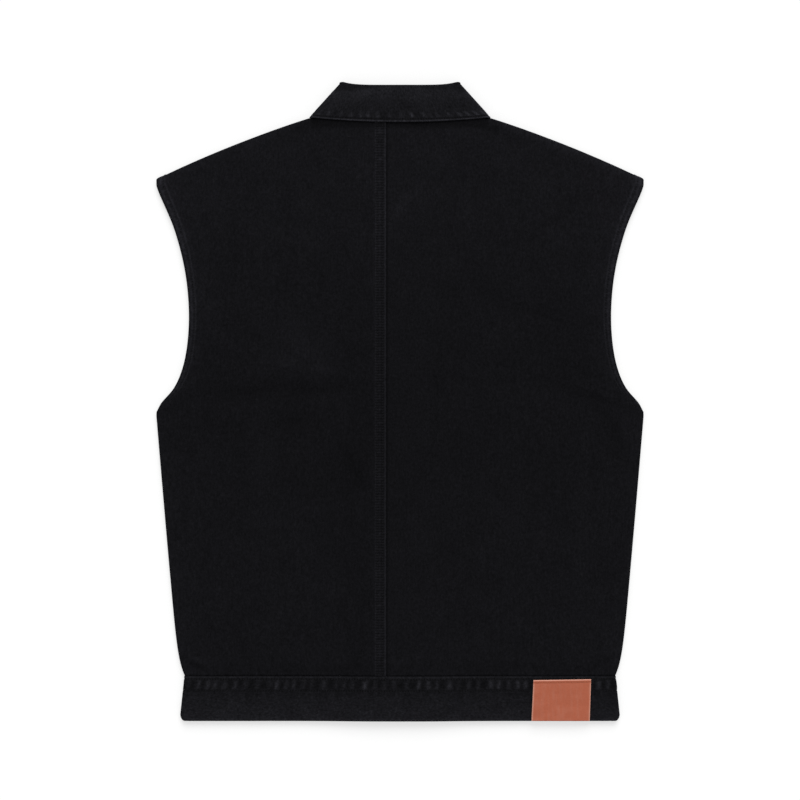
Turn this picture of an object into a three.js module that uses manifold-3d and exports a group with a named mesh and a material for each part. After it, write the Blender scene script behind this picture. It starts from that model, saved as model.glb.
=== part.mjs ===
// A sleeveless denim vest, closed at the front and laid flat on its face, so that its back is up.
// Millimetres, +Z up. While it is drawn, Y is the height above the hem along the back, and X is the
// distance from the middle, with the wearer's left at -X. The last lines centre it on the origin.
import * as THREE from "three";
import { mergeVertices } from "three/addons/utils/BufferGeometryUtils.js";
import Module from "manifold-3d";

// Cloth
const CLOTH = 1.2; // one layer of denim
const COLLAR_CLOTH = 1.8; // two layers, pressed
const BAND_CLOTH = 2.6; // two layers with the seam allowances between them
const STRIP_CLOTH = 2.2; // the folded strips down the front
const SEAM_GAP = 0.3; // between pieces that are sewn edge to edge

// The outline of the back, from the middle line out
const BAND_TOP = { half: 241.7, y: 50.4 };
const BAND_HEM_HALF = 246.9;
const HEM_CORNER = 7.5; // radius of the waistband's lower corners
const UNDERARM = { half: 272.5, y: 341 };
const SIDE_TAPER = 0.0879; // how much narrower the side gets for each millimetre down
const SIDE_BOW = 0.35; // how far the side swells out between the waist and the underarm
const SIDE_SHARE = 0.5; // the part of a panel's side edge that is side seam, below the armhole
const GATHER = { depth: 6.3, reach: 17 }; // the side pulls in just above the band
const ARMHOLE_HEM = { width: 9, raise: 0.5 };
const NECK_POINT = { half: 90, y: 678.9 };
const NECK_CREST = 0.6; // the middle of the neckline stands this much above its corners
const SHOULDER = { half: 101.4, y: 674.2, slope: 0.3115, curve: 0.0005 };
const COLLAR_TUCK = { half: 95, y: 673.3 }; // the shoulder passes below the collar here
const ARMHOLE = [
  { half: 272.4, y: 345.5 },
  { half: 267.4, y: 354.7 },
  { half: 252.1, y: 372.6 },
  { half: 241.3, y: 399.5 },
  { half: 235.6, y: 444.3 },
  { half: 239.0, y: 498.0 },
  { half: 251.6, y: 549.6 },
  { half: 270.3, y: 594.4 },
  { half: 272.5, y: 602.0 },
  { half: 272.5, y: 604.8 },
  { half: 271.0, y: 606.9 },
];
const FRONT_SCOOP = 16; // the front armhole is cut this much deeper than the back one
const SIDE_GAP = 0.36; // half the height between the edges of front and back at the side
const PANEL_FOOT = BAND_TOP.y + 0.5; // the panels' lower edge, clear of the waistband where they lean out
const SEAM_TURN = 0.55; // a closed side seam turns over this much less sharply than a free edge
const OPENING_BLEND = 0.06; // the share of the side edge over which the seam opens into the armhole
const NECK_BLEND = 0.02; // the same between the neckline and the shoulder
const SHARE_TO_EDGE = 0.985; // rows reach this far up a panel before its shoulder turns over

// The centre back seam stands left of the middle, with its folded edge on the left panel
const BACK_SEAM = { x: -15.4, width: 13.2, raise: 0.9 };
const SEAM_EDGE = 0.75; // its sides slope down over this distance

// Front opening: the left strip lies outside, so it is nearer the floor
const STRIP_HALF = 19;
const STRIP_TOP = 599.6;
const BUTTON = { radius: 8.5, height: 2.1, shank: 2.5, top: 580, bottom: 95, count: 6, band: 25 };
const BUTTON_CAP = { face: 0.82, rim: 0.45, back: 0.93 }; // shares of the button's radius and height
const BUTTONHOLE = { length: 20, slit: 0.8 };

// Heights of the middle of each layer above the floor
const FRONT_LEVEL = CLOTH / 2;
const BACK_LEVEL = 4.4;
const BAND_LEVEL = 5.9; // the waistband's back, which lies over a fuller pad of seams
const STRIP_LIFT = 2.4; // the buttons hold the outer strip this far off the floor
const INNER_LIFT = STRIP_LIFT + STRIP_CLOTH + SEAM_GAP;
const BACK_RISE = 3.6; // how far the strips lift the back along the middle
const NECK_SHARE = 0.75; // the share of that rise that is left at the neck
const WAIST_RISE = 0.7;
const RAMP = { inner: 22, outer: 85 }; // the fronts come down from the strips over this distance
const HUMP = { inner: 22, outer: 105 }; // and the back over this one
const STRIP_FADE = { from: 608, to: 680 }; // above the strips, the back comes down over these heights
const NECK_LIFT = { from: 560, to: 668, inner: 92, outer: 190 }; // where the collar lifts the back
const POINT_LIFT = { below: 78, full: 18, inner: 108, outer: 170 }; // where its points lift the fronts

// Collar: a folded collar, drawn from its neck seam over the roll to its outer edge
const ROLL = { middleY: 711.4, earHalf: 67.5, earY: 714.8, bend: 5.5 };
const FALL = { middleY: 669.8, half: 102.1, y: 674.7 };
const COLLAR_END = { half: 13, y: 606 };
const COLLAR_POINT = { half: 86, y: 568 };
const COLLAR_LEVELS = { middle: 5.3, stand: 1.8, fall: 4.4 };
const ROLL_PUFF = 1.1; // the roll stands this much fuller on each side at the middle of the back
const COLLAR_CURL = 0.25; // how far the front of the collar follows a curve, from 0 to 1
const EDGE_BEND = 2; // how square the collar's edges run across the back, where 1 is a straight line
const NECK_OFFSET = 0.5; // the collar's neck seam is this far from the corner of the neck
const EAR_INSET = 0.63; // how far inside its outline the middle of the collar's upper corner lies
const ROLL_ANGLES = [-50, -15, 20, 60]; // stations over the roll, in degrees from level
const TURN_ANGLES = [54, 18, -18, -54]; // stations round the shoulder, from the back to the front

// Leather patch on the back of the waistband
const PATCH = {
  thickness: 1.4,
  corners: [
    { x: 147.0, y: 0.4 },
    { x: 212.1, y: 0.4 },
    { x: 213.6, y: 47.0 },
    { x: 149.2, y: 46.0 },
  ],
};

// The largest soft folds of the back. Angles are in degrees from +X, depths are negative for troughs.
const FOLDS = [
  { x: -138, y: 369, angle: 2, length: 92, width: 11, depth: -0.7 },
  { x: -112, y: 415, angle: 0, length: 60, width: 26, depth: 0.8 },
  { x: 84, y: 499, angle: -45, length: 44, width: 13, depth: -0.7 },
  { x: 162, y: 456, angle: -16, length: 50, width: 8, depth: -0.6 },
  { x: 207, y: 365, angle: -20, length: 62, width: 8, depth: -0.6 },
  { x: 34, y: 379, angle: 4, length: 32, width: 12, depth: -0.6 },
  { x: -46, y: 280, angle: 86, length: 34, width: 8, depth: -0.7 },
  { x: -116, y: 335, angle: 8, length: 26, width: 9, depth: -0.5 },
  { x: 6, y: 582, angle: 50, length: 40, width: 10, depth: 0.5 },
  { x: -152, y: 290, angle: 90, length: 80, width: 12, depth: 0.5 },
  { x: 124, y: 230, angle: 91, length: 90, width: 14, depth: 0.5 },
  { x: 204, y: 210, angle: 88, length: 110, width: 12, depth: 0.5 },
  { x: -176, y: 76, angle: -60, length: 24, width: 7, depth: -0.6 },
  { x: 236, y: 322, angle: -70, length: 28, width: 7, depth: -0.6 },
  { x: -110, y: 652, angle: 15, length: 34, width: 7, depth: -0.6 },
  { x: 122, y: 654, angle: -17, length: 34, width: 7, depth: -0.6 },
];

const COLOURS = { denim: "#141417", strip: "#151518", band: "#19191c", leather: "#ab6047", metal: "#3b3a3c" };

// Small helpers
const lerp = (a, b, t) => a + (b - a) * t;
const radians = (degrees) => (degrees * Math.PI) / 180;
const smooth = (from, to, value) => THREE.MathUtils.smoothstep(value, from, to);
const between = (p, q, t) => ({ x: lerp(p.x, q.x, t), y: lerp(p.y, q.y, t) });
const steps = (from, to, count) => Array.from({ length: count + 1 }, (_, i) => lerp(from, to, i / count));

// Outline of one half of the body
function sideHalf(y) {
  const pulledIn = GATHER.depth * Math.exp(-(y - BAND_TOP.y) / GATHER.reach);
  const bow = SIDE_BOW * Math.sin((Math.PI * (y - BAND_TOP.y)) / (UNDERARM.y - BAND_TOP.y));
  return UNDERARM.half - SIDE_TAPER * (UNDERARM.y - y) - pulledIn + bow;
}

function shoulderY(half) {
  const out = half - SHOULDER.half;
  const outline = SHOULDER.y - SHOULDER.slope * out - SHOULDER.curve * out * out;
  const share = (half - NECK_POINT.half) / (COLLAR_TUCK.half - NECK_POINT.half);
  const tucked = lerp(NECK_POINT.y, COLLAR_TUCK.y, share);
  return Math.min(outline, Math.max(tucked, COLLAR_TUCK.y));
}

function bandHalf(y) {
  const straight = lerp(BAND_HEM_HALF, BAND_TOP.half, y / BAND_TOP.y);
  const intoCorner = Math.max(0, HEM_CORNER - y);
  return straight - (HEM_CORNER - Math.sqrt(HEM_CORNER ** 2 - intoCorner ** 2));
}

const armholeCurve = new THREE.CatmullRomCurve3(
  ARMHOLE.map((row) => new THREE.Vector3(row.half, row.y, 0)),
  false,
  "centripetal",
);
const tip = ARMHOLE[ARMHOLE.length - 1];

// The side edge from the waist (0) past the underarm to the shoulder tip (1)
function sideEdge(v, scoop) {
  if (v <= SIDE_SHARE) {
    const y = lerp(PANEL_FOOT, ARMHOLE[0].y, v / SIDE_SHARE);
    return { x: sideHalf(Math.min(y, UNDERARM.y)), y };
  }
  const t = (v - SIDE_SHARE) / (1 - SIDE_SHARE);
  const p = armholeCurve.getPointAt(t);
  return { x: p.x - scoop * Math.sin(Math.PI * t) ** 1.5, y: p.y };
}

// The top edge from the middle (0) along the neckline and the shoulder to the tip (1)
function topEdge(u, neck) {
  if (u <= neck.share) return neck.line(u / neck.share);
  const x = lerp(NECK_POINT.half, tip.half, (u - neck.share) / (1 - neck.share));
  return { x, y: shoulderY(x) };
}

// Folds and lifts, as heights of the middle of the front and back layers
function foldHeight(x, y) {
  return FOLDS.reduce((sum, fold) => {
    const a = radians(fold.angle);
    const along = (x - fold.x) * Math.cos(a) + (y - fold.y) * Math.sin(a);
    const across = -(x - fold.x) * Math.sin(a) + (y - fold.y) * Math.cos(a);
    return sum + fold.depth * Math.exp(-((along / fold.length) ** 2) - (across / fold.width) ** 2);
  }, 0);
}

function collarShare(x, y) {
  const raised = smooth(COLLAR_POINT.y - POINT_LIFT.below, COLLAR_POINT.y - POINT_LIFT.full, y);
  return raised * (1 - smooth(POINT_LIFT.inner, POINT_LIFT.outer, Math.abs(x)));
}

function frontHeight(x, y, stripLift) {
  const nearStrip = 1 - smooth(RAMP.inner, RAMP.outer, Math.abs(x));
  return FRONT_LEVEL + Math.max(stripLift * nearStrip, STRIP_LIFT * collarShare(x, y));
}

function backHump(x) {
  return 1 - smooth(HUMP.inner, HUMP.outer, Math.abs(x));
}

function backHeight(x, y) {
  const strips = backHump(x) * (1 - smooth(STRIP_FADE.from, STRIP_FADE.to, y));
  const aside = smooth(NECK_LIFT.inner, NECK_LIFT.outer, Math.abs(x));
  const neck = NECK_SHARE * smooth(NECK_LIFT.from, NECK_LIFT.to, y) * (1 - aside);
  const lift = BACK_RISE * (1 - (1 - strips) * (1 - neck));
  const waist = WAIST_RISE * Math.exp(-(y - BAND_TOP.y) / GATHER.reach);
  return BACK_LEVEL + lift + waist;
}

// Stations across a panel that ends in a rounded fold: { inset from the fold, how far it has turned }
function foldStations(radius) {
  const start = Math.asin(SIDE_GAP / radius);
  return [start, Math.PI / 6, Math.PI / 3, Math.PI / 2].map((angle) => ({
    inset: radius * (1 - Math.cos(angle)),
    turn: Math.sin(angle),
  }));
}

// A closed wall from a grid of middle points, whose outward side may stand out by a raise.
// Nothing reaches below the hem line or under the floor, which are both at zero.
function wall(grid, thickness, raise = () => 0) {
  const rows = grid.length;
  const columns = grid[0].length;
  const at = (i, j) => grid[THREE.MathUtils.clamp(i, 0, rows - 1)][THREE.MathUtils.clamp(j, 0, columns - 1)];
  const positions = [];
  const normal = new THREE.Vector3();
  for (const side of [1, -1]) {
    for (let i = 0; i < rows; i++) {
      for (let j = 0; j < columns; j++) {
        const alongRow = at(i, j + 1).clone().sub(at(i, j - 1));
        const alongColumn = at(i + 1, j).clone().sub(at(i - 1, j));
        normal.crossVectors(alongRow, alongColumn).normalize();
        const depth = side > 0 ? thickness / 2 + raise(i, j) : thickness / 2;
        const p = at(i, j).clone().addScaledVector(normal, side * depth);
        positions.push(p.x, Math.max(p.y, 0), Math.max(p.z, 0));
      }
    }
  }
  const layer = rows * columns;
  const index = [];
  const quad = (a, b, c, d) => index.push(a, b, c, a, c, d);
  for (let i = 0; i + 1 < rows; i++) {
    for (let j = 0; j + 1 < columns; j++) {
      const a = i * columns + j;
      quad(a, a + 1, a + columns + 1, a + columns);
      quad(layer + a, layer + a + columns, layer + a + columns + 1, layer + a + 1);
    }
  }
  const rim = [];
  for (let j = 0; j < columns; j++) rim.push(j);
  for (let i = 1; i < rows; i++) rim.push(i * columns + columns - 1);
  for (let j = columns - 2; j >= 0; j--) rim.push((rows - 1) * columns + j);
  for (let i = rows - 2; i > 0; i--) rim.push(i * columns);
  rim.forEach((a, k) => {
    const b = rim[(k + 1) % rim.length];
    quad(a, layer + a, layer + b, b);
  });
  const geometry = new THREE.BufferGeometry();
  geometry.setAttribute("position", new THREE.Float32BufferAttribute(positions, 3));
  geometry.setIndex(index);
  geometry.computeVertexNormals();
  return geometry;
}

// Turns a grid over, so that its rows run the other way and its walls face the other side
const flipped = (grid) => grid.map((row) => [...row].reverse());

// A body panel is drawn between its middle edge, side edge, waist and top edge
function panelPoint(edges, u, v) {
  const corner = (a, b) => edges(a, b);
  const sides = between(corner(0, v), corner(1, v), u);
  const ends = between(corner(u, 0), corner(u, 1), v);
  const low = between(corner(0, 0), corner(1, 0), u);
  const high = between(corner(0, 1), corner(1, 1), u);
  const both = between(low, high, v);
  return { x: sides.x + ends.x - both.x, y: sides.y + ends.y - both.y };
}

function panelGrid({ middleX, topY, neck, scoop, side, height, columns, rows }) {
  const edges = (u, v) => {
    if (u === 0) return { x: middleX, y: lerp(PANEL_FOOT, topY, v) };
    if (u === 1) return sideEdge(v, scoop);
    if (v === 0) return { x: lerp(middleX, BAND_TOP.half, u), y: PANEL_FOOT };
    return topEdge(u, neck);
  };
  const radius = (BACK_LEVEL - FRONT_LEVEL) / 2;
  const width = UNDERARM.half - middleX;
  const depth = topY - BAND_TOP.y;
  const edgeStations = foldStations(radius);
  const across = [
    ...columns.map((u) => ({ at: u, turn: 1 })),
    ...edgeStations.map((s) => ({ at: 1 - s.inset / width, turn: s.turn })).reverse(),
  ];
  const up = [
    ...rows.map((v) => ({ at: v, turn: 1 })),
    ...edgeStations.map((s) => ({ at: 1 - s.inset / depth, turn: s.turn })).reverse(),
  ];
  return up.map((row) =>
    across.map((column) => {
      const p = panelPoint(edges, column.at, row.at);
      const x = side * p.x;
      const open = smooth(SIDE_SHARE, SIDE_SHARE + OPENING_BLEND, row.at);
      const sideTurn = lerp(column.turn, lerp(SEAM_TURN, 1, column.turn), open);
      const overShoulder = smooth(neck.share - NECK_BLEND, neck.share + NECK_BLEND, column.at);
      const topTurn = lerp(1, row.turn, overShoulder);
      const under = frontHeight(x, p.y, STRIP_LIFT);
      const over = backHeight(x, p.y);
      return new THREE.Vector3(x, p.y, height(x, p.y, { under, over, turn: sideTurn * topTurn }));
    }),
  );
}

// Where the top edge needs a column, because the shoulder comes out from under the collar
const tuckOut = SHOULDER.half + (SHOULDER.y - COLLAR_TUCK.y) / SHOULDER.slope;
const tuckColumns = (middleX) =>
  [COLLAR_TUCK.half, tuckOut, tuckOut + 10].map((x) => (x - middleX) / (tip.half - middleX));
const inOrder = (list) => [...list].sort((a, b) => a - b);

// Rows stand closer where the folds and the underarms are
const backRows = [...steps(0, 0.42, 6), ...steps(0.45, 0.63, 7), ...steps(0.69, 0.95, 5), SHARE_TO_EDGE];
const frontRows = [...steps(0, 0.42, 4), ...steps(0.5, 0.74, 4), ...steps(0.8, 0.95, 3), SHARE_TO_EDGE];

// Back panels, one each side of the centre back seam
function backPanel(side) {
  const seamX = side < 0 ? -BACK_SEAM.x : BACK_SEAM.x + SEAM_GAP;
  const width = UNDERARM.half - seamX;
  const strip = side < 0 ? [0, SEAM_EDGE, BACK_SEAM.width - SEAM_EDGE, BACK_SEAM.width] : [0];
  const overHump = steps(HUMP.inner, HUMP.outer * 0.64, 2);
  const beyond = steps(HUMP.outer + 11, width - 26, 4);
  const inner = [...overHump, ...beyond];
  const hem = [ARMHOLE_HEM.width + 1, ARMHOLE_HEM.width, ARMHOLE_HEM.width / 2].map((inset) => width - inset);
  const columns = inOrder([...[...strip, ...inner, ...hem].map((x) => x / width), ...tuckColumns(seamX)]);
  const topY = NECK_POINT.y + NECK_CREST;
  const neck = {
    share: (NECK_POINT.half - seamX) / (tip.half - seamX),
    line: (t) => ({ x: lerp(seamX, NECK_POINT.half, t), y: lerp(topY, NECK_POINT.y, t) }),
  };
  const grid = panelGrid({
    middleX: seamX,
    topY,
    neck,
    scoop: 0,
    side,
    columns,
    rows: backRows,
    height: (x, y, { under, over, turn }) => {
      const relief = foldHeight(x, y);
      const kept = relief < 0 ? relief * (1 - backHump(x)) : relief;
      return lerp((over + under) / 2, over + kept, turn);
    },
  });
  const last = grid[0].length - 1;
  const raise = (i, column) => {
    if (side < 0 && strip[column] < BACK_SEAM.width) return BACK_SEAM.raise;
    const inHem = columns[column] === undefined || columns[column] * width >= width - ARMHOLE_HEM.width;
    return inHem && backRows[i] > SIDE_SHARE ? ARMHOLE_HEM.raise : 0;
  };
  if (side > 0) return wall(grid, CLOTH, raise);
  return wall(flipped(grid), CLOTH, (i, j) => raise(i, last - j));
}

const collarStations = steps(0, 1, 8);

// Front neckline, from the top of the strips up to the neck point
function frontNeck(t) {
  const angle = (t * Math.PI) / 2;
  const low = { x: COLLAR_END.half, y: STRIP_TOP };
  return {
    x: lerp(low.x, NECK_POINT.half, Math.sin(angle)),
    y: lerp(low.y, NECK_POINT.y, 1 - Math.cos(angle)),
  };
}

function frontPanel(side) {
  const middleX = STRIP_HALF + SEAM_GAP;
  const stripLift = side < 0 ? STRIP_LIFT : INNER_LIFT;
  const width = UNDERARM.half - middleX;
  const start = Math.asin((middleX - COLLAR_END.half) / (NECK_POINT.half - COLLAR_END.half)) / (Math.PI / 2);
  const topY = frontNeck(start).y;
  const share = (NECK_POINT.half - middleX) / (tip.half - middleX);
  const neck = { share, line: (t) => frontNeck(lerp(start, 1, t)) };
  const besideNeck = collarStations.slice(1).map((t) => (t - start) / (1 - start));
  const columns = [
    0,
    ...besideNeck.map((t) => t * share),
    ...tuckColumns(middleX),
    ...steps(0.45, 1 - 14 / width, 4),
    1 - 5 / width,
  ];
  const grid = panelGrid({
    middleX,
    topY,
    neck,
    scoop: FRONT_SCOOP,
    side,
    columns,
    rows: frontRows,
    height: (x, y, { over, turn }) => {
      const under = frontHeight(x, y, stripLift);
      return lerp((over + under) / 2, under, turn);
    },
  });
  return wall(side > 0 ? flipped(grid) : grid, CLOTH);
}

// Front strips: the left one has the buttonholes, the right one carries the buttons
function buttonYs() {
  return steps(BUTTON.bottom, BUTTON.top, BUTTON.count - 1);
}

function stripWall(lift) {
  const bottom = BAND_TOP.y + SEAM_GAP;
  const grid = steps(bottom, STRIP_TOP - SEAM_GAP, 8).map((y) =>
    [-STRIP_HALF, 0, STRIP_HALF].map((x) => new THREE.Vector3(x, y, lift + STRIP_CLOTH / 2)),
  );
  return wall(grid, STRIP_CLOTH);
}

const wasm = await Module();
wasm.setup();

function solid(geometry) {
  const bare = geometry.clone();
  bare.deleteAttribute("normal");
  bare.deleteAttribute("uv");
  const merged = mergeVertices(bare);
  const vertProperties = merged.attributes.position.array;
  return new wasm.Manifold(
    new wasm.Mesh({ numProp: 3, vertProperties, triVerts: new Uint32Array(merged.index.array) }),
  );
}

function geometryOf(manifold) {
  const mesh = manifold.getMesh();
  const geometry = new THREE.BufferGeometry();
  geometry.setAttribute("position", new THREE.Float32BufferAttribute(mesh.vertProperties, 3));
  geometry.setIndex([...mesh.triVerts]);
  return geometry;
}

// A keyhole: a round eye for the shank and a slit either side of it
function buttonhole(y, height) {
  const sides = 12;
  const radius = (BUTTON.shank + SEAM_GAP) / Math.cos(Math.PI / sides);
  const eye = new THREE.CylinderGeometry(radius, radius, height, sides);
  eye.rotateX(Math.PI / 2).translate(0, y, height / 2);
  const slit = new THREE.BoxGeometry(BUTTONHOLE.length, BUTTONHOLE.slit, height);
  slit.translate(0, y, height / 2);
  return solid(eye).add(solid(slit));
}

function cutButtonholes(geometry, ys, height) {
  const cut = ys.reduce((body, y) => body.subtract(buttonhole(y, height)), solid(geometry));
  return geometryOf(cut);
}

// A shank button with its face on the floor and its shank up through the buttonhole
function button(shankTop) {
  const profile = [
    [0, 0],
    [BUTTON.radius * BUTTON_CAP.face, 0],
    [BUTTON.radius, BUTTON.height * BUTTON_CAP.rim],
    [BUTTON.radius * BUTTON_CAP.back, BUTTON.height],
    [BUTTON.shank, BUTTON.height],
    [BUTTON.shank, shankTop],
    [0, shankTop],
  ];
  const geometry = new THREE.LatheGeometry(profile.map(([r, z]) => new THREE.Vector2(r, z)), 16);
  return geometry.rotateX(Math.PI / 2);
}

// Waistband: one strip, from its left front end round the back to its right front end. Its stations
// are closer where the front strips lift it, and its back is flat between the two turns at the sides.
const bandFrontXs = [STRIP_HALF, 4, -12, -24, -44, -64, -86, -150, -200];
const BAND_BACK_HALF = 205;
function bandGrid() {
  const half = BAND_CLOTH / 2;
  const low = half;
  const high = BAND_LEVEL;
  const radius = (high - low) / 2;
  const outerEnd = (x) => low + STRIP_LIFT * (1 - smooth(RAMP.inner, RAMP.outer, Math.abs(x)));
  const innerLift = STRIP_LIFT + BAND_CLOTH + SEAM_GAP;
  const innerEnd = (x) => low + innerLift * (x < RAMP.inner ? 1 : 1 - smooth(RAMP.inner, RAMP.outer, x));
  const back = (x) => high + BACK_RISE * backHump(x);
  const angles = steps(-90, 90, 6).slice(1, -1).map(radians);
  const sideX = (y) => bandHalf(y) - half - radius;
  const section = (y) => [
    ...bandFrontXs.map((x) => [x, outerEnd(x)]),
    ...[...angles, radians(90)].map((a) => [
      -sideX(y) - radius * Math.cos(a),
      low + radius + radius * Math.sin(a),
    ]),
    ...steps(-BAND_BACK_HALF, BAND_BACK_HALF, 22).map((x) => [x, back(x)]),
    ...[radians(90), ...[...angles].reverse()].map((a) => [
      sideX(y) + radius * Math.cos(a),
      low + radius + radius * Math.sin(a),
    ]),
    ...[...bandFrontXs].reverse().map((x) => [-x, innerEnd(-x)]),
  ];
  const corner = [0, 0.15, 0.55, 1].map((share) => share * HEM_CORNER);
  return [...corner, BAND_TOP.y / 2, BAND_TOP.y].map((y) =>
    section(y).map(([x, z]) => new THREE.Vector3(x, y, z)),
  );
}

// Collar: for each station round the neck, a line from the neck seam over the roll to the outer edge
function collarGrid() {
  const half = COLLAR_CLOTH / 2;
  const { middle, stand, fall } = COLLAR_LEVELS;
  const rollRadius = (fall - stand) / 2;
  const seam = { x: NECK_POINT.half - NECK_OFFSET, y: NECK_POINT.y + NECK_OFFSET };
  const ear = { x: ROLL.earHalf - EAR_INSET, y: ROLL.earY - half - rollRadius };
  const wing = { x: FALL.half - half, y: FALL.y };
  const across = [
    ...steps(0, 1, 2).map((t) => ({ part: "stand", t, radius: stand, reach: 0 })),
    ...ROLL_ANGLES.map(radians).map((a) => ({
      part: "roll",
      t: 0,
      radius: (stand + fall) / 2 + rollRadius * Math.sin(a),
      reach: rollRadius * Math.cos(a),
    })),
    ...steps(0, 1, 4).map((t) => ({ part: "fall", t, radius: fall, reach: 0 })),
  ];
  const foldPoint = (w) => {
    if (w.part === "stand") return between(seam, ear, w.t);
    return between({ x: ear.x, y: ear.y + w.reach }, wing, w.t);
  };
  const puffOf = (w) => ({ stand: w.t ** 2, roll: 1, fall: (1 - w.t) ** 2 })[w.part];

  const backPoint = (t, w) => {
    const edge = foldPoint(w);
    const middleY = {
      stand: lerp(NECK_POINT.y + NECK_CREST + SEAM_GAP, ROLL.middleY - half - rollRadius, w.t),
      roll: ROLL.middleY - half - rollRadius + w.reach,
      fall: lerp(ROLL.middleY - half - rollRadius, FALL.middleY, w.t),
    }[w.part];
    const bend = {
      stand: lerp(EDGE_BEND, ROLL.bend, w.t),
      roll: ROLL.bend,
      fall: lerp(ROLL.bend, EDGE_BEND, w.t),
    }[w.part];
    const away = Math.sign(w.radius - (stand + fall) / 2);
    const puff = ROLL_PUFF * puffOf(w) * (1 - t ** 4) * away;
    return new THREE.Vector3(
      t * (edge.x - w.radius),
      lerp(middleY, edge.y, t ** bend),
      middle + w.radius + puff,
    );
  };
  const turnPoint = (angle, w) => {
    const edge = foldPoint(w);
    return new THREE.Vector3(
      edge.x - w.radius * (1 - Math.cos(angle)),
      edge.y,
      middle + w.radius * Math.sin(angle),
    );
  };
  const frontPoint = (t, w) => {
    const edge = foldPoint(w);
    const from = { x: edge.x - w.radius, y: edge.y };
    const end = { x: COLLAR_END.half, y: COLLAR_END.y };
    const seamEnd = { x: COLLAR_END.half, y: STRIP_TOP + 2 * SEAM_GAP };
    const to = {
      stand: between(seamEnd, end, w.t),
      roll: { x: end.x, y: end.y + w.reach },
      fall: between(end, { x: COLLAR_POINT.half, y: COLLAR_POINT.y }, w.t),
    }[w.part];
    const angle = (t * Math.PI) / 2;
    const straight = between(from, to, t);
    const curved = { x: lerp(to.x, from.x, Math.cos(angle)), y: lerp(from.y, to.y, Math.sin(angle)) };
    const curl = {
      stand: lerp(1, COLLAR_CURL, w.t),
      roll: COLLAR_CURL,
      fall: COLLAR_CURL * (1 - w.t),
    }[w.part];
    const p = between(straight, curved, curl);
    return new THREE.Vector3(p.x, p.y, middle - w.radius);
  };

  const halfCollar = [
    ...steps(0, 1, 8).map((t) => (w) => backPoint(t, w)),
    ...TURN_ANGLES.map(radians).map((a) => (w) => turnPoint(a, w)),
    ...collarStations.map((t) => (w) => frontPoint(t, w)),
  ].map((point) => across.map(point));
  const mirrored = halfCollar.slice(1).map((row) => row.map((p) => new THREE.Vector3(-p.x, p.y, p.z)));
  return [...mirrored.reverse(), ...halfCollar];
}

// The patch lies on the waistband, so it is the waistband's outer surface moved out
function patchGrid() {
  const [a, b, c, d] = PATCH.corners;
  const z = BAND_LEVEL + BAND_CLOTH / 2 + SEAM_GAP + PATCH.thickness / 2;
  return steps(0, 1, 4).map((v) =>
    steps(0, 1, 5).map((u) => {
      const p = between(between(a, b, u), between(d, c, u), v);
      return new THREE.Vector3(p.x, p.y, z);
    }),
  );
}

// Assembly
const vest = new THREE.Group();

function add(name, geometry, color, roughness, metalness = 0) {
  const mesh = new THREE.Mesh(geometry, new THREE.MeshStandardMaterial({ color, roughness, metalness }));
  mesh.name = name;
  vest.add(mesh);
  return mesh;
}

add("back_left", backPanel(-1), COLOURS.denim, 0.95);
add("back_right", backPanel(1), COLOURS.denim, 0.95);
add("front_left", frontPanel(-1), COLOURS.denim, 0.95);
add("front_right", frontPanel(1), COLOURS.denim, 0.95);
const stripHoleHeight = INNER_LIFT + STRIP_CLOTH;
add(
  "placket_left",
  cutButtonholes(stripWall(STRIP_LIFT), buttonYs(), stripHoleHeight),
  COLOURS.strip,
  0.95,
);
add("placket_right", stripWall(INNER_LIFT), COLOURS.strip, 0.95);
const bandHoleHeight = STRIP_LIFT + BAND_CLOTH + SEAM_GAP / 2;
const band = cutButtonholes(wall(bandGrid(), BAND_CLOTH), [BUTTON.band], bandHoleHeight);
add("waistband", band, COLOURS.band, 0.95);
add("collar", wall(collarGrid(), COLLAR_CLOTH), COLOURS.band, 0.95);
add("leather_patch", wall(patchGrid(), PATCH.thickness), COLOURS.leather, 0.6);
buttonYs().forEach((y, i) => {
  add(`button_${i + 1}`, button(INNER_LIFT - SEAM_GAP), COLOURS.metal, 0.4, 0.9).position.set(0, y, 0);
});
const bandShankTop = STRIP_LIFT + BAND_CLOTH;
add("button_waist", button(bandShankTop), COLOURS.metal, 0.4, 0.9).position.set(0, BUTTON.band, 0);

const box = new THREE.Box3().setFromObject(vest);
vest.position.y = -(box.min.y + box.max.y) / 2;

export default vest;
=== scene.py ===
# The looks of a black denim vest that lies flat on its face, with its back up.
# Lengths are in millimetres: x from the middle, y up the back from the hem, z off the floor.
# The wearer's left is at -x. placed() turns what is drawn into the frame's metres.
import math

import bpy
import numpy as np
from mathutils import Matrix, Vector


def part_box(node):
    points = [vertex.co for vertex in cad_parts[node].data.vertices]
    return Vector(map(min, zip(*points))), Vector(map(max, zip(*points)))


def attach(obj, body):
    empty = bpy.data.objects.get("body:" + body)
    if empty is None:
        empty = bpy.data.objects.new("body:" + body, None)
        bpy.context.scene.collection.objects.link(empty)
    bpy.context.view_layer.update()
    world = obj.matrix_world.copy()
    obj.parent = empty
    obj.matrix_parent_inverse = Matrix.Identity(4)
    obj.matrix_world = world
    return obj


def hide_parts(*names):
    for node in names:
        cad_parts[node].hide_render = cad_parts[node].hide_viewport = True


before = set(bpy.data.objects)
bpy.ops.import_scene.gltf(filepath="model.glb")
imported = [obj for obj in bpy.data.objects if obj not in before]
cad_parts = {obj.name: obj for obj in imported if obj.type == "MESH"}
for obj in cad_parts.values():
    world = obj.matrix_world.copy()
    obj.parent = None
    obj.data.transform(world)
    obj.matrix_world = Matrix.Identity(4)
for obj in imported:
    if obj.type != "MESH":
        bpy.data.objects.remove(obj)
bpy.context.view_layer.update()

MM = 0.001
HEM_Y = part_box("waistband")[0][1]

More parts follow.
